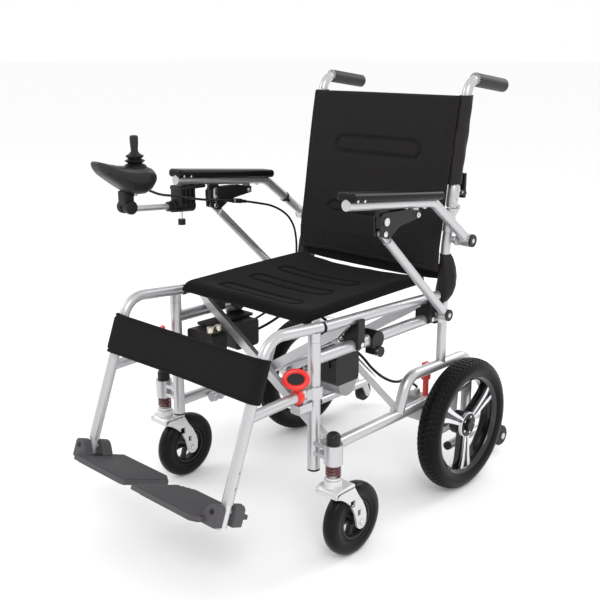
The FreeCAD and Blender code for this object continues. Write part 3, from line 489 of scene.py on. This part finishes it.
def drive_wheel(side):
    """Treaded tyre, and a black rim with three spokes, each with two machined faces."""
    g = 1 if side == "left" else -1
    centre = (g * DRIVE[0], DRIVE[1], DRIVE[2])
    rubber = wheel_mesh(side + "_tyre_look", tyre_outline(), centre, TYRE, 576, tread)
    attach(rubber, side + "_wheel")
    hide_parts(side + "_drive_tyre")
    rim = [(-19.5, 112.0), (-21.5, 114.5), (-20.0, 116.2), (-18.2, 113.0), (-12.0, 109.0), (12.0, 109.0),
           (18.2, 113.0), (20.0, 116.2), (21.5, 114.5), (19.5, 112.0), (17.0, 107.5), (12.0, 105.2),
           (-12.0, 105.2), (-17.0, 107.5)]
    parts = [wheel_mesh("rim", rim, centre, RIM_BLACK, 160)]
    for k in range(3):
        turn = math.pi + 2 * math.pi * k / 3
        body = [(-12, 18), (12, 18), (13.5, 55), (17, 85), (23, 106.5), (-23, 106.5), (-17, 85), (-13.5, 55)]
        parts.append(bar("spoke", spun(body, centre, turn), centre[0] + g * -8, centre[0] + g * 11,
                         RIM_BLACK, bevel=1.5))
        for hand in (-1, 1):
            face = [(2.6, 26), (9.6, 26), (11.5, 55), (14.5, 82), (20.5, 106), (7.6, 106), (5.0, 82),
                    (3.6, 55)]
            face = [(hand * y, z) for y, z in face]
            parts.append(bar("spoke_face", spun(face, centre, turn), centre[0] + g * 7, centre[0] + g * 15.5,
                             RIM_FACE, bevel=1.0))
    ring = [(10, 26.8), (17.2, 27.4), (17.8, 28.6), (16.5, 30.0), (10, 30.0)]
    parts.append(wheel_mesh("hub_ring", [(g * x, r) for x, r in ring], centre, RIM_FACE, 64))
    parts.append(cylinder("hub", (centre[0] - g, *centre[1:]), (1, 0, 0), 34, 27.0, BLACK, segments=64,
                          bevel=1.5))
    star = []
    for i in range(60):
        a = 2 * math.pi * i / 60
        r = 12.0 + 2.6 * math.cos(5 * a)
        star.append((centre[1] + r * math.sin(a), centre[2] + r * math.cos(a)))
    parts.append(bar("hub_cap", star, centre[0] + g * 15, centre[0] + g * 20.5, BLACK_SOFT, bevel=0.8))
    for k in range(5):
        a = 2 * math.pi * (k + 0.3) / 5
        spot = (centre[0] + g * 16.8, centre[1] + 19.5 * math.sin(a), centre[2] + 19.5 * math.cos(a))
        parts.append(cylinder("bolt", spot, (1, 0, 0), 4, 3.3, STEEL, segments=6, bevel=0.5))
    look = join(side + "_rim_look", parts)
    fix_normals(look)
    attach(look, side + "_wheel")
    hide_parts(side + "_drive_rim")


def caster_look(side):
    """Solid tyre on a black wheel with five short spokes."""
    g = 1 if side == "left" else -1
    centre = (g * CASTER[0], CASTER[1], CASTER[2])
    wall = [(-12.0, 43.0), (-14.5, 44.5), (-15.6, 48.0), (-15.2, 50.0), (-16.6, 52.5), (-16.9, 60.0),
            (-16.2, 66.5), (-13.5, 72.0), (-9.0, 75.4), (-3.0, 76.9)]
    outline = wall + [(-x, r) for x, r in reversed(wall)]
    parts = [wheel_mesh("rubber", outline, centre, CASTER_RUBBER, 128)]
    seat_side = [(-11.5, 43.2), (-13.5, 42.5), (-13.0, 38.0), (-10.0, 36.0)]
    hub_rim = seat_side + [(-x, r) for x, r in reversed(seat_side)]
    parts.append(wheel_mesh("hub_rim", hub_rim, centre, BLACK, 96))
    parts.append(cylinder("hub", centre, (1, 0, 0), 33, 12.0, BLACK, segments=40, bevel=1.5))
    for k in range(5):
        turn = 2 * math.pi * (k + 0.25) / 5
        arm = [(-3.6, 9), (3.6, 9), (3.6, 28), (8.0, 38), (-8.0, 38), (-3.6, 28)]
        parts.append(bar("arm", spun(arm, centre, turn), centre[0] - 6, centre[0] + 6, BLACK, bevel=1.0))
    look = join(side + "_caster_look", parts)
    fix_normals(look)
    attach(look, side + "_caster")
    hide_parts(side + "_caster_wheel")


def cut_box(piece, x, y, z):
    """Takes a block, in working millimetres, out of a piece."""
    knife = bar("knife", [(y[0], z[0]), (y[1], z[0]), (y[1], z[1]), (y[0], z[1])], x[0], x[1], BLACK)
    modifier = piece.modifiers.new("cut", "BOOLEAN")
    modifier.object = knife
    modifier.operation = "DIFFERENCE"
    modifier.solver = "EXACT"
    apply_modifiers(piece)
    bpy.data.objects.remove(knife)


def fork_look(side):
    """Cast fork: a hood round the stem's foot and two arms swept back to the axle."""
    g = 1 if side == "left" else -1
    x, y, z = g * CASTER[0], CASTER[1], CASTER[2]
    back = [(-52, 87), (-26, 87), (-20, 80), (-11, 64), (2, 46), (11, 28), (15, 12)]
    end = [(14.5 * math.cos(math.radians(a)), 14.5 * math.sin(math.radians(a))) for a in range(10, -200, -18)]
    front = [(-17.5, 12), (-21, 24), (-27, 37), (-36, 50), (-48, 61), (-61, 70), (-74, 76),
             (-78, 79), (-78, 87)]
    outline = [(y + dy, z + dz) for dy, dz in back + end + front]
    parts = []
    for hand in (-1, 1):
        arm = bar("arm", outline, x + hand * 22.0, x + hand * 27.5, WHITE_SILVER)
        cut_box(arm, (x - 40, x + 40), (y - 35, y - 21), (z + 42, z + 57))
        cut_box(arm, (x - 40, x + 40), (y - 12, y - 3), (z + 17, z + 30))
        soften(arm, 1.4, 3, 40)
        parts.append(arm)
    hood = [(-22, 92), (-64, 92), (-70, 90.5), (-75.5, 86.5), (-78, 81), (-78, 75), (-73, 75), (-71.5, 79),
            (-66, 82), (-22, 82)]
    hood = [(y + dy, z + dz) for dy, dz in hood]
    parts.append(bar("hood", hood, x - 27.5, x + 27.5, WHITE_SILVER, bevel=2.4))
    parts.append(cylinder("boss", (x, y - 57, z + 98), (0, 0, 1), 17, 18.0, WHITE_SILVER, segments=48,
                          bevel=1.5))
    for hand in (-1, 1):
        parts.append(cylinder("axle", (x + hand * 29.0, y, z), (1, 0, 0), 4.5, 7.0, STEEL, segments=24,
                              bevel=0.8))
    look = join(side + "_fork_look", parts)
    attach(look, side + "_fork")
    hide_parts(side + "_caster_fork")


for _side in ("left", "right"):
    drive_wheel(_side)
    caster_look(_side)
    fork_look(_side)


# ------------------------------------------------------------------ upholstery
BACK_LOW, BACK_FOLD, BACK_HIGH = 515, 652, 891
BACK_HALF = 205                         # half the back panels' width


LEAN = 0.168                            # how far the back leans per unit of height


def cane_y(z):
    """The back cane's middle at a height: upright at its foot, then leaning back."""
    return -30.0 + max(0.0, z - 565.0) * LEAN


def curve_at(points, t):
    """A point on a smooth curve through (y, z) points, with its normal, for t from 0 to 1."""
    lengths = [0.0]
    for a, b in zip(points, points[1:]):
        lengths.append(lengths[-1] + math.dist(a, b))
    target = t * lengths[-1]
    i = max(k for k in range(len(points) - 1) if lengths[k] <= target + 1e-9)
    f = (target - lengths[i]) / (lengths[i + 1] - lengths[i])
    p = [points[max(0, i - 1)], points[i], points[i + 1], points[min(len(points) - 1, i + 2)]]
    out, slope = [], []
    for axis in (0, 1):
        a, b, c, d = (q[axis] for q in p)
        out.append(0.5 * (2 * b + (c - a) * f + (2 * a - 5 * b + 4 * c - d) * f * f
                          + (3 * b - a - 3 * c + d) * f ** 3))
        slope.append(0.5 * ((c - a) + 2 * (2 * a - 5 * b + 4 * c - d) * f
                            + 3 * (3 * b - a - 3 * c + d) * f * f))
    return out, slope


SEAT_LINE = [(-453, 478), (-447, 486), (-436, 491), (-400, 493), (-300, 496), (-200, 498), (-125, 499),
             (-80, 499)]


def seat_place(u, v):
    """The seat sling's middle surface, which sags between its rails and is wavy at the rear edge."""
    (y, z), (dy, dz) = curve_at(SEAT_LINE, v)
    x = -187 + 374 * u
    side = abs(2 * u - 1)
    sag = 13 * (1 - side ** 2.2) * smoothstep(0.0, 0.2, v) + 4 * math.sin(9 * u + 5 * v) * (1 - side) * 0.3
    wave = 2.2 * math.sin(u * 34) * smoothstep(0.93, 1.0, v)
    length = math.hypot(dy, dz)
    return at(x, y + wave, z - sag), Vector((0, -dz / length, dy / length))


SEAT_CHANNELS = [(0.5, 0.17, 0.26), (0.5, 0.40, 0.26), (0.5, 0.63, 0.26)]


def seat_groove(u, v):
    """Three long sewn channels across the seat."""
    deep = 0.0
    for cu, cv, half in SEAT_CHANNELS:
        deep += channel(capsule(u, v, (cu, cv), half, 0.045, 0.97), 0.010, 4.0)
    return deep


seat = pad_mesh("seat_cushion", seat_place, 190, 190, lambda u, v: 24 + 3 * math.sin(math.pi * u),
                SEAT_FABRIC, seat_groove, edge=0.05)
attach(seat, "seat")
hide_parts("seat_upholstery")
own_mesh(seat)


def back_place(low, high):
    """A back panel's middle surface between two heights, hollow between the canes."""
    def place(u, v):
        z = low + (high - low) * v
        x = -BACK_HALF + 2 * BACK_HALF * u
        side = abs(2 * u - 1)
        rise = (z - BACK_LOW) / (BACK_HIGH - BACK_LOW)
        hollow = 10 * (1 - side ** 2) * (1 - 0.4 * rise)
        y = cane_y(z) - 26 + hollow + 1.5 * math.sin(7 * u + 6 * rise)
        return at(x, y, z), Vector((0, -1, LEAN)).normalized()
    return place


def back_groove(centre, half):
    """A long sewn oval on a back panel, and the hems along its edges."""
    def groove(u, v):
        hem = channel(min(u, 1 - u) - 0.030, 0.006, 1.6)
        if centre[1] > 0.6:
            hem = max(hem, channel(v - 0.075, 0.016, 1.6))
        return channel(capsule(u, v, centre, half, 0.075, 1.75), 0.021, 6.5) + hem
    return groove


upper = pad_mesh("back_panel_upper", back_place(BACK_FOLD, BACK_HIGH), 240, 130, lambda u, v: 19.0,
                 FABRIC, back_groove((0.51, 0.49), 0.25), edge=0.03, flat="low")
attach(upper, "left_back")
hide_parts("back_upholstery_upper")
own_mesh(upper)
lower = pad_mesh("back_panel_lower", back_place(BACK_LOW, BACK_FOLD), 240, 80, lambda u, v: 19.0,
                 FABRIC, back_groove((0.5, 0.80), 0.25), edge=0.03, flat="high")
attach(lower, "left_frame")
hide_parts("back_upholstery_lower")
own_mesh(lower)


def cane_sleeve(side):
    """Cloth round a back cane, fuller towards the panel."""
    g = 1 if side == "left" else -1
    low, radius = 704, 15.0
    rows, columns = 60, 40
    verts = []
    for i in range(rows):
        t = i / (rows - 1)
        z = low + (BACK_HIGH - low) * t
        for j in range(columns):
            a = 2 * math.pi * j / columns
            ripple = 0.7 * math.sin(5 * a + 9 * t) * math.sin(math.pi * t)
            r = radius + ripple + 0.5 * math.sin(23 * t + 2 * a)
            pull = 6.0 * max(0.0, -math.sin(a)) ** 2
            verts.append(at(g * FRAME_X + r * math.cos(a), cane_y(z) + (r + pull) * math.sin(a), z))
    piece = new_mesh(side + "_cane_sleeve", verts, closed_tube_faces(rows, columns), SLEEVE)
    fix_normals(piece)
    sharp(piece, 60)
    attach(piece, side + "_back")


for _side in ("left", "right"):
    cane_sleeve(_side)


# z, the centre's x from the cane, the centre's y, half width, half depth
FLAP = [
    (552, 0, -30, 12.6, 12.6), (544, 3, -30, 15.0, 14.0), (524, 6, -29, 18.5, 17.5),
    (502, 7, -28, 20.5, 21.0), (480, 6, -29, 21.0, 23.0), (462, 4, -33, 19.0, 22.0),
    (448, 0, -38, 15.0, 17.0), (442, -3, -42, 9.0, 10.0),
]


def side_flap(side):
    """Loose cloth that runs down the cane's foot to the seat's rear corner."""
    g = 1 if side == "left" else -1
    rows, columns = 60, 56
    verts = []
    for i in range(rows):
        t = i / (rows - 1) * (len(FLAP) - 1)
        k = min(len(FLAP) - 2, int(t))
        f = smoothstep(0, 1, t - k) * 0.4 + (t - k) * 0.6
        z, cx, cy, wide, deep = (p + (q - p) * f for p, q in zip(FLAP[k], FLAP[k + 1]))
        for j in range(columns):
            a = 2 * math.pi * j / columns
            fold = 1 + 0.05 * math.sin(3 * a + 5 * i / rows) + 0.035 * math.sin(7 * a - 8 * i / rows)
            fold = 1 + (fold - 1) * math.sin(math.pi * min(1, i / rows * 1.15)) ** 0.5
            x = FRAME_X + cx + wide * fold * math.cos(a)
            verts.append(at(g * x, cy + deep * fold * math.sin(a), z))
    piece = new_mesh(side + "_flap", verts, closed_tube_faces(rows, columns), SLEEVE)
    fix_normals(piece)
    sharp(piece, 60)
    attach(piece, side + "_frame")


for _side in ("left", "right"):
    side_flap(_side)


def skirt_place(u, v):
    """The back sling's loose lower edge, tucked behind the seat."""
    z = 490 + 34 * v
    side = abs(2 * u - 1)
    y = -34 + 9 * (1 - side ** 2) - 14 * (1 - side ** 6)
    return at(-204 + 408 * u, y, z + 5 * side ** 2), Vector((0, -1, 0))


skirt = pad_mesh("back_sling_edge", skirt_place, 120, 16, lambda u, v: 3.0, WOVEN,
                 edge=0.02)
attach(skirt, "left_frame")
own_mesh(skirt)


# ------------------------------------------------------------------ calf strap
LEG_TOP = Vector((0, -596.0, 452.0))
LEG_RUN = Vector((0, -110.0, -295.0)).normalized()
LEG_FRONT = Vector((0, LEG_RUN.z, -LEG_RUN.y))
STRAP_HIGH = 84                         # the strap's width, down the legs
HALF_WRAP = [(-214.0, -14.0), (-218.0, -6.0), (-218.5, 4.0), (-213.0, 13.5), (-202.0, 16.5), (-150.0, 16.0),
             (-60.0, 13.0)]
WRAP = HALF_WRAP + [(0.0, 12.0)] + [(-x, deep) for x, deep in reversed(HALF_WRAP)]


def strap_place(u, v):
    """The strap's middle surface: across both legs, and round each one's outer side."""
    (x, deep), (dx, dd) = curve_at(WRAP, u)
    down = STRAP_HIGH - STRAP_HIGH * v - 1.5 * math.sin(math.pi * u) * (1 - 2 * v)
    spot = LEG_TOP + LEG_RUN * down + LEG_FRONT * deep
    length = math.hypot(dx, dd)
    normal = Vector((-dd / length, 0, 0)) + LEG_FRONT * (dx / length)
    return at(x, spot.y, spot.z), normal


def strap_groove(u, v):
    """A sewn hem along the upper and the lower edge."""
    return channel(min(v, 1 - v) - 0.075, 0.028, 2.6)


strap = pad_mesh("calf_strap_look", strap_place, 260, 60, lambda u, v: 7.0, STRAP_FABRIC,
                 strap_groove, edge=0.06)
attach(strap, "left_leg")
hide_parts("calf_strap")
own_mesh(strap)


# ------------------------------------------------------------------ hand control
# y from the stick, top, bottom, half width
SHELL = [
    (-99, 13, 6, 14), (-96, 16, -3, 20), (-86, 13.5, -14, 27), (-68, 8.5, -27, 32), (-48, 4, -41, 34),
    (-28, 1, -54, 34.5), (-8, -1, -60, 34.5), (12, -2, -60.5, 34), (27, -6, -54, 31), (36, -15, -44, 26),
    (41, -26, -36, 17),
]
SHELL_POWER = 0.62                      # below 1, the section is a rounded box
SHELL_SEAMS = {3, 24, 34, 49}           # columns of faces that are the dark lines between its halves


def control_shell():
    """Boat-shaped shell, narrower below."""
    rows, columns = 80, 56
    verts = []
    for i in range(rows):
        t = i / (rows - 1)
        (y, top), _ = curve_at([(s[0], s[1]) for s in SHELL], t)
        k = min(len(SHELL) - 2, max(0, sum(1 for s in SHELL if s[0] <= y) - 1))
        f = (y - SHELL[k][0]) / (SHELL[k + 1][0] - SHELL[k][0])
        f = max(0.0, min(1.0, f))
        bottom = SHELL[k][2] + (SHELL[k + 1][2] - SHELL[k][2]) * f
        half = SHELL[k][3] + (SHELL[k + 1][3] - SHELL[k][3]) * f
        middle, tall = (top + bottom) / 2, (top - bottom) / 2
        for j in range(columns):
            a = 2 * math.pi * j / columns
            sx = math.copysign(abs(math.cos(a)) ** SHELL_POWER, math.cos(a))
            sz = math.copysign(abs(math.sin(a)) ** SHELL_POWER, math.sin(a))
            narrow = 1 - 0.22 * max(0.0, -sz)
            verts.append(at(STICK[0] + half * sx * narrow, STICK[1] + y, STICK[2] + middle + tall * sz))
    shell = new_mesh("control_shell", verts, closed_tube_faces(rows, columns), CONTROL)
    shell.data.materials.append(BLACK)
    for index, face in enumerate(shell.data.polygons):
        if index < (rows - 1) * columns and index % columns in SHELL_SEAMS:
            face.material_index = 1
    fix_normals(shell)
    sharp(shell, 60)
    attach(shell, "control")
    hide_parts("controller_housing")


def control_details():
    """The boot's collar, four blank keys, and the stick with its bellows and knob."""
    x, y, z = STICK
    collar = lathe("boot_collar", [(0, -8), (24, -8), (25, -5), (24, -1), (22, 0), (0, 0)], STICK, BLACK_SOFT)
    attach(collar, "control")
    keys = []
    for dy, wide, rise in ((-52, 17, 3.2), (-68, 15, 6.8)):
        for hand in (-1, 1):
            near, far = x + hand * 4, x + hand * wide
            corners = [(near, y + dy - 5), (far, y + dy - 5), (far, y + dy + 5), (near, y + dy + 5)]
            top = z + rise
            keys.append(bar("key", corners, top - 3, top + 1.0, BLACK_SOFT, bevel=1.0, axis=2))
    pad = join("control_key_pad", keys)
    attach(pad, "control")
    boot = [(0, -2), (20.5, -2), (21.5, 1), (14.5, 4.5), (20.5, 8.5), (21.5, 10), (13.5, 13.5), (18.8, 18.5),
            (19.2, 20), (11.5, 24), (7.8, 29), (7.6, 31), (0, 31)]
    knob = [(0, 29), (7.2, 29), (7.8, 36), (8.6, 46), (9.0, 56), (8.4, 60.5), (6.0, 62), (0, 62)]
    look = join("joystick_look", [lathe("boot", boot, STICK, BLACK_SOFT), lathe("knob", knob, STICK, GRIP)])
    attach(look, "stick")
    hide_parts("joystick_lever")


TUBE_FRONT, TUBE_REAR = (-534, 659.6), (-352, 646)     # the support tube's ends
TUBE_RISE = 0.0745


def oblong(x0, y0, x1, y1):
    """Corners of a rectangle."""
    return [(x0, y0), (x1, y0), (x1, y1), (x0, y1)]


def control_support():
    """Round knuckle, support tube, sleeve and ribbed bracket under the armrest."""
    x = CONTROL_X
    parts = [tube_piece((x, *TUBE_FRONT), (x, *TUBE_REAR), 7.0, SILVER)]
    for low, high, radius in ((-14, -1.5, 14.5), (1.5, 12, 13.0), (13, 22, 14.5)):
        parts.append(cylinder("drum", (x + (low + high) / 2, -538, 665), (1, 0, 0), high - low, radius,
                              BLACK_SOFT, segments=20, bevel=1.2))
    neck = [(x - 9, -552), (x + 17, -552), (x + 15, -526), (x - 7, -526)]
    parts.append(bar("neck", neck, 668, 700, BLACK_SOFT, bevel=3.0, axis=2))
    parts.append(bar("neck_bolt", oblong(x - 2, -522, x + 10, -514), 686, 694, STEEL, bevel=1.5, axis=2))
    look = join("control_support_look", parts)
    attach(look, "control")
    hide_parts("controller_arm")
    run = (0, -1, TUBE_RISE)
    sleeve = [cylinder("sleeve", (x, -386, 648.5), run, 62, 13.5, BLACK_SOFT, segments=40, bevel=2.5),
              cylinder("sleeve_end", (x, -422, 651.2), run, 12, 11.0, BLACK_SOFT, segments=40, bevel=1.5),
              bar("core", oblong(x - 6, -406, x + 22, -372), 654, 697, BLACK, axis=2, bevel=1.0)]
    for k in range(4):
        y = -410 + 12.2 * k
        rib = oblong(x - 9, y, x + 27, y + 5)
        sleeve.append(bar("rib", rib, 652, 696.5, BLACK_SOFT, axis=2, bevel=1.2))
    foot = [(x - 9, -412), (x + 29, -412), (x + 29, -340), (x + 8, -340), (x - 9, -366)]
    sleeve.append(bar("foot", foot, 688, 694.5, BLACK, axis=2, bevel=1.2))
    look = join("control_clamp_look", sleeve)
    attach(look, "right_arm")
    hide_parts("controller_clamp")


control_shell()
control_details()
control_support()


# ------------------------------------------------------------------ foot plates
TILT = math.atan2(-LEG_RUN.y, -LEG_RUN.z)
PLATE_PIVOT = LEG_TOP + LEG_RUN * 283.0


def footplate_look(side):
    """Ribbed plate with an under slab and two lugs for its pivot pin."""
    g = 1 if side == "left" else -1

    def place(x, y, z):
        """The plate's own millimetres: x from the centre plane, y back from the pivot, z up its normal."""
        return at(g * x, PLATE_PIVOT.y + y * math.cos(TILT) + z * math.sin(TILT),
                  PLATE_PIVOT.z - y * math.sin(TILT) + z * math.cos(TILT))

    outline = [(11, -61), (177, -61), (193, -43), (193, 79), (47, 79), (11, 53)]
    parts = [bar("slab", outline, -22.5, -13.2, PLATE, bevel=2.2, axis=2, place=place)]
    under = [(30, -52), (172, -52), (184, -40), (184, 70), (52, 70), (30, 48)]
    parts.append(bar("under", under, -26.5, -21.5, PLATE, bevel=1.2, axis=2, place=place))
    # a dark floor under the ribs: painted shade in the grooves between them
    inset = [(18, -56), (174, -56), (187, -41), (187, 73), (50, 73), (18, 49)]
    parts.append(bar("shaded_groove_floor", inset, -14.0, -12.9, PLATE_GROOVE_SHADE, axis=2, place=place))
    for k in range(21):
        y = -55.5 + 6.2 * k
        start = 17 + max(0.0, (y - 49) * 1.4)
        end = 170 if -30 < y < 30 else 187
        strip = [(start, y), (end, y), (end, y + 3.2), (start, y + 3.2)]
        parts.append(bar("rib", strip, -14, -11.7, PLATE, bevel=0.5, axis=2, place=place))
    lug = [(172, -26.0), (220, -26.0), (220, 7), (216, 12.5), (206, 14.5), (197, 12), (190, 5), (178, -12)]
    pivot = [(FRAME_X + 5.2 * math.cos(a * math.pi / 8), 1 + 5.2 * math.sin(a * math.pi / 8))
             for a in range(16)]
    front_face = -34.0
    parts.append(bar("lug", lug, front_face, -12.6, PLATE, bevel=2.2, axis=1, place=place))
    parts.append(bar("pin_head", pivot, front_face - 1.4, front_face, BLACK, bevel=0.5, axis=1, place=place))
    parts.append(bar("lug", lug, 12.6, 38.0, PLATE, bevel=2.2, axis=1, place=place))
    look = join(side + "_footplate_look", parts)
    fix_normals(look)
    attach(look, side + "_plate")
    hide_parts(side + "_footplate")


for _side in ("left", "right"):
    footplate_look(_side)


# ------------------------------------------------------------------ small parts
def ring_look(side):
    """Flattened red hoop with a dark finger plate, on a split foot round the lower tube."""
    g = 1 if side == "left" else -1
    axis = Vector((g * 0.5, -0.6, 0.62)).normalized()
    across = axis.cross(Vector((0, 0, 1))).normalized()
    up = across.cross(axis)
    middle = Vector((FRAME_X * g, -510.0, 388.5))
    verts = []
    rows, columns = 72, 20
    for i in range(rows):
        a = 2 * math.pi * i / rows
        out = across * math.cos(a) + up * math.sin(a)
        spot = middle + across * (21.5 * math.cos(a)) + up * (16.5 * math.sin(a))
        for j in range(columns):
            b = 2 * math.pi * j / columns
            p = spot + out * (5.4 * math.cos(b)) + axis * (5.0 * math.sin(b))
            verts.append(at(*p))
    hoop = new_mesh("hoop", verts, grid_faces(rows, columns, True, True), RED)
    stem = tube_piece((g * 209.5, -514.5, 377), (g * 206, -507, 364), 5.0, RED)
    foot = cylinder("foot", (g * 206, -506, 352.2), (0, 1, -0.036), 13, 14.4, RED, segments=40, bevel=1.2)
    look = join(side + "_ring_look", [hoop, stem, foot])
    fix_normals(look)
    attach(look, side + "_ring")
    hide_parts(side + "_hanger_lever")
    disc = []
    for i in range(40):
        a = 2 * math.pi * i / 40
        disc.append(middle + across * (18.5 * math.cos(a)) + up * (13.5 * math.sin(a)))
    verts = [at(*(p + axis * 1.6)) for p in disc] + [at(*(p - axis * 1.6)) for p in disc]
    n = len(disc)
    faces = [tuple(range(n)), tuple(range(2 * n - 1, n - 1, -1))]
    faces += [(i, i + n, (i + 1) % n + n, (i + 1) % n) for i in range(n)]
    plate = new_mesh(side + "_ring_plate", verts, faces, BLACK_SOFT, smooth=False)
    fix_normals(plate)
    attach(plate, side + "_ring")


def bolt(name, body, place, direction, radius, height, skin=STEEL):
    """A round head centred on a point."""
    head = cylinder(name, place, direction, height, radius, skin, segments=24,
                    bevel=min(radius, height) * 0.35)
    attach(head, body)


def arm_bolts(side):
    """Bolt heads and screws of an armrest."""
    g = 1 if side == "left" else -1
    for hand in (-1, 1):
        tag = side + ("_in" if hand < 0 else "_out")
        cheek = g * ARM_X + g * hand * 9.0
        bolt(tag + "_rear_bolt", side + "_bracket", (cheek + g * hand * 1.2, -204, 667), (1, 0, 0), 5.6, 3.6)
        bolt(tag + "_nose_bolt", side + "_bracket", (cheek + g * hand * 1.2, -309, 643), (1, 0, 0), 5.8, 3.6)
        for k, y in enumerate((-408.0, -388.0)):
            z = 719.5 + (-408 - y) * 0.095
            spot = (g * ARM_X + g * hand * 21.9, y, z)
            bolt(f"{tag}_pad_screw_{k}", side + "_arm", spot, (1, 0, 0), 2.8, 1.6)
    for k, y in enumerate((-232.0, -170.0)):
        z = 685.0 - (y + 142) * 0.0949 - 11.3
        bolt(f"{side}_tube_screw_{k}", side + "_arm", (g * ARM_X, y, z), (0, 0, 1), 4.6, 3.4)


def latch_plate():
    """Silver oblong round the latch on the right armrest's inner cheek."""
    outline = []
    for centre, start in ((676.0, 0), (658.0, 180)):
        for step in range(13):
            a = math.radians(start + step * 15)
            outline.append((-308 + 7.5 * math.cos(a), centre + 7.5 * math.sin(a)))
    plate = bar("latch_plate", outline, -235.0, -233.2, STEEL, bevel=0.5)
    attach(plate, "right_bracket")
    bolt("latch_plate_button", "right_bracket", (-232.6, -308, 661), (1, 0, 0), 5.0, 1.6, ZINC)


def cane_fittings(side):
    """Silver hinge sleeves on the cane, above and below the fold."""
    g = 1 if side == "left" else -1
    sleeves = (("upper", "_back", 662, 701, 13.6), ("lower", "_frame", 600, 634, 13.4))
    for tag, body, low, high, radius in sleeves:
        start = (g * FRAME_X, cane_y(low), low)
        end = (g * FRAME_X, cane_y(high), high)
        piece = tube_piece(start, end, radius, SILVER)
        piece.name = f"{side}_{tag}_sleeve"
        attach(piece, side + body)
        for k, f in enumerate((0.25, 0.75)):
            z = low + (high - low) * f
            spot = (g * (FRAME_X + radius + 0.6), cane_y(z), z)
            bolt(f"{side}_{tag}_screw_{k}", side + body, spot, (1, 0, 0), 3.6, 2.4)


def cable_trim():
    """Inline connector of the control's cable, and a tie that holds the cable to the armrest."""
    x = -225.0
    parts = [tube_piece((x, -268, 650.4), (x, -238, 645.4), 5.6, BLACK_SOFT, 1.5)]
    parts.append(tube_piece((x, -278, 651.9), (x, -268, 650.4), 4.4, BLACK_SOFT, 1.0))
    parts.append(tube_piece((x, -238, 645.4), (x, -224, 642.9), 4.0, BLACK_SOFT, 1.0))
    parts.append(tube_piece((x, -265, 649.9), (x, -261, 649.3), 5.9, TAN, 0.3))
    connector = join("cable_connector", parts)
    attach(connector, "right_arm")
    ties = [tube_piece((-244, -76, 636.7), (-244, -70.5, 632.7), 12.4, BLACK, 0.5)]
    ties.append(cylinder("tie_head", (-231.5, -75, 628), (0.3, 1, -0.7), 9, 4.0, BLACK, segments=12,
                         bevel=0.6))
    tie = join("cable_tie", ties)
    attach(tie, "right_arm")


def copy_look(name, node, skin):
    """A piece with a CAD node's shape that takes its place."""
    source = NODES[node]
    piece = bpy.data.objects.new(name, source.data.copy())
    bpy.context.scene.collection.objects.link(piece)
    piece.data.transform(source.matrix_world)
    piece.data.materials.clear()
    piece.data.materials.append(skin)
    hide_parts(node)
    return piece


def cable_look(name, node):
    """A held cable, copied in place from its CAD node with the cable's material."""
    piece = copy_look(name, node, CABLE)
    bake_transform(piece)


def spring_look(side):
    """The caster's coil spring, copied from its CAD node and held on the frame."""
    piece = copy_look(side + "_spring_look", side + "_caster_spring", DARK_RED)
    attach(piece, side + "_frame")
    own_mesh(piece)


cable_look("controller_cable_look", "controller_cable")
cable_look("motor_cable_look", "motor_cable")
for _side in ("left", "right"):
    ring_look(_side)
    arm_bolts(_side)
    spring_look(_side)
    cane_fittings(_side)
latch_plate()
cable_trim()


# ------------------------------------------------------------------ floor and light
def stage_and_light():
    """A white floor and world, with three soft lamps."""
    bpy.ops.mesh.primitive_plane_add(size=120, location=(0, 0, 0))
    floor = bpy.context.object
    floor.name = "floor"
    floor.data.materials.append(material("floor_white", (0.97, 0.97, 0.97), rough=1.0, shine=0.0))
    world = bpy.data.worlds.new("studio")
    bpy.context.scene.world = world
    world.use_nodes = True
    world.node_tree.nodes["Background"].inputs["Color"].default_value = (1.0, 1.0, 1.0, 1)
    world.node_tree.nodes["Background"].inputs["Strength"].default_value = 1.0
    lamps = [("key", (2.6, -2.4, 3.2), 60, 1.6), ("fill", (-3.0, -2.0, 2.4), 26, 2.0),
             ("rim", (0.8, 3.2, 2.6), 40, 2.0)]
    for name, place, power, size in lamps:
        data = bpy.data.lights.new(name, "AREA")
        data.energy = power
        data.size = size
        lamp = bpy.data.objects.new(name, data)
        bpy.context.scene.collection.objects.link(lamp)
        lamp.location = place
        lamp.rotation_euler = (Vector((0, 0, 0.5)) - Vector(place)).to_track_quat("-Z", "Y").to_euler()
    bpy.context.scene.view_settings.view_transform = "Standard"


stage_and_light()
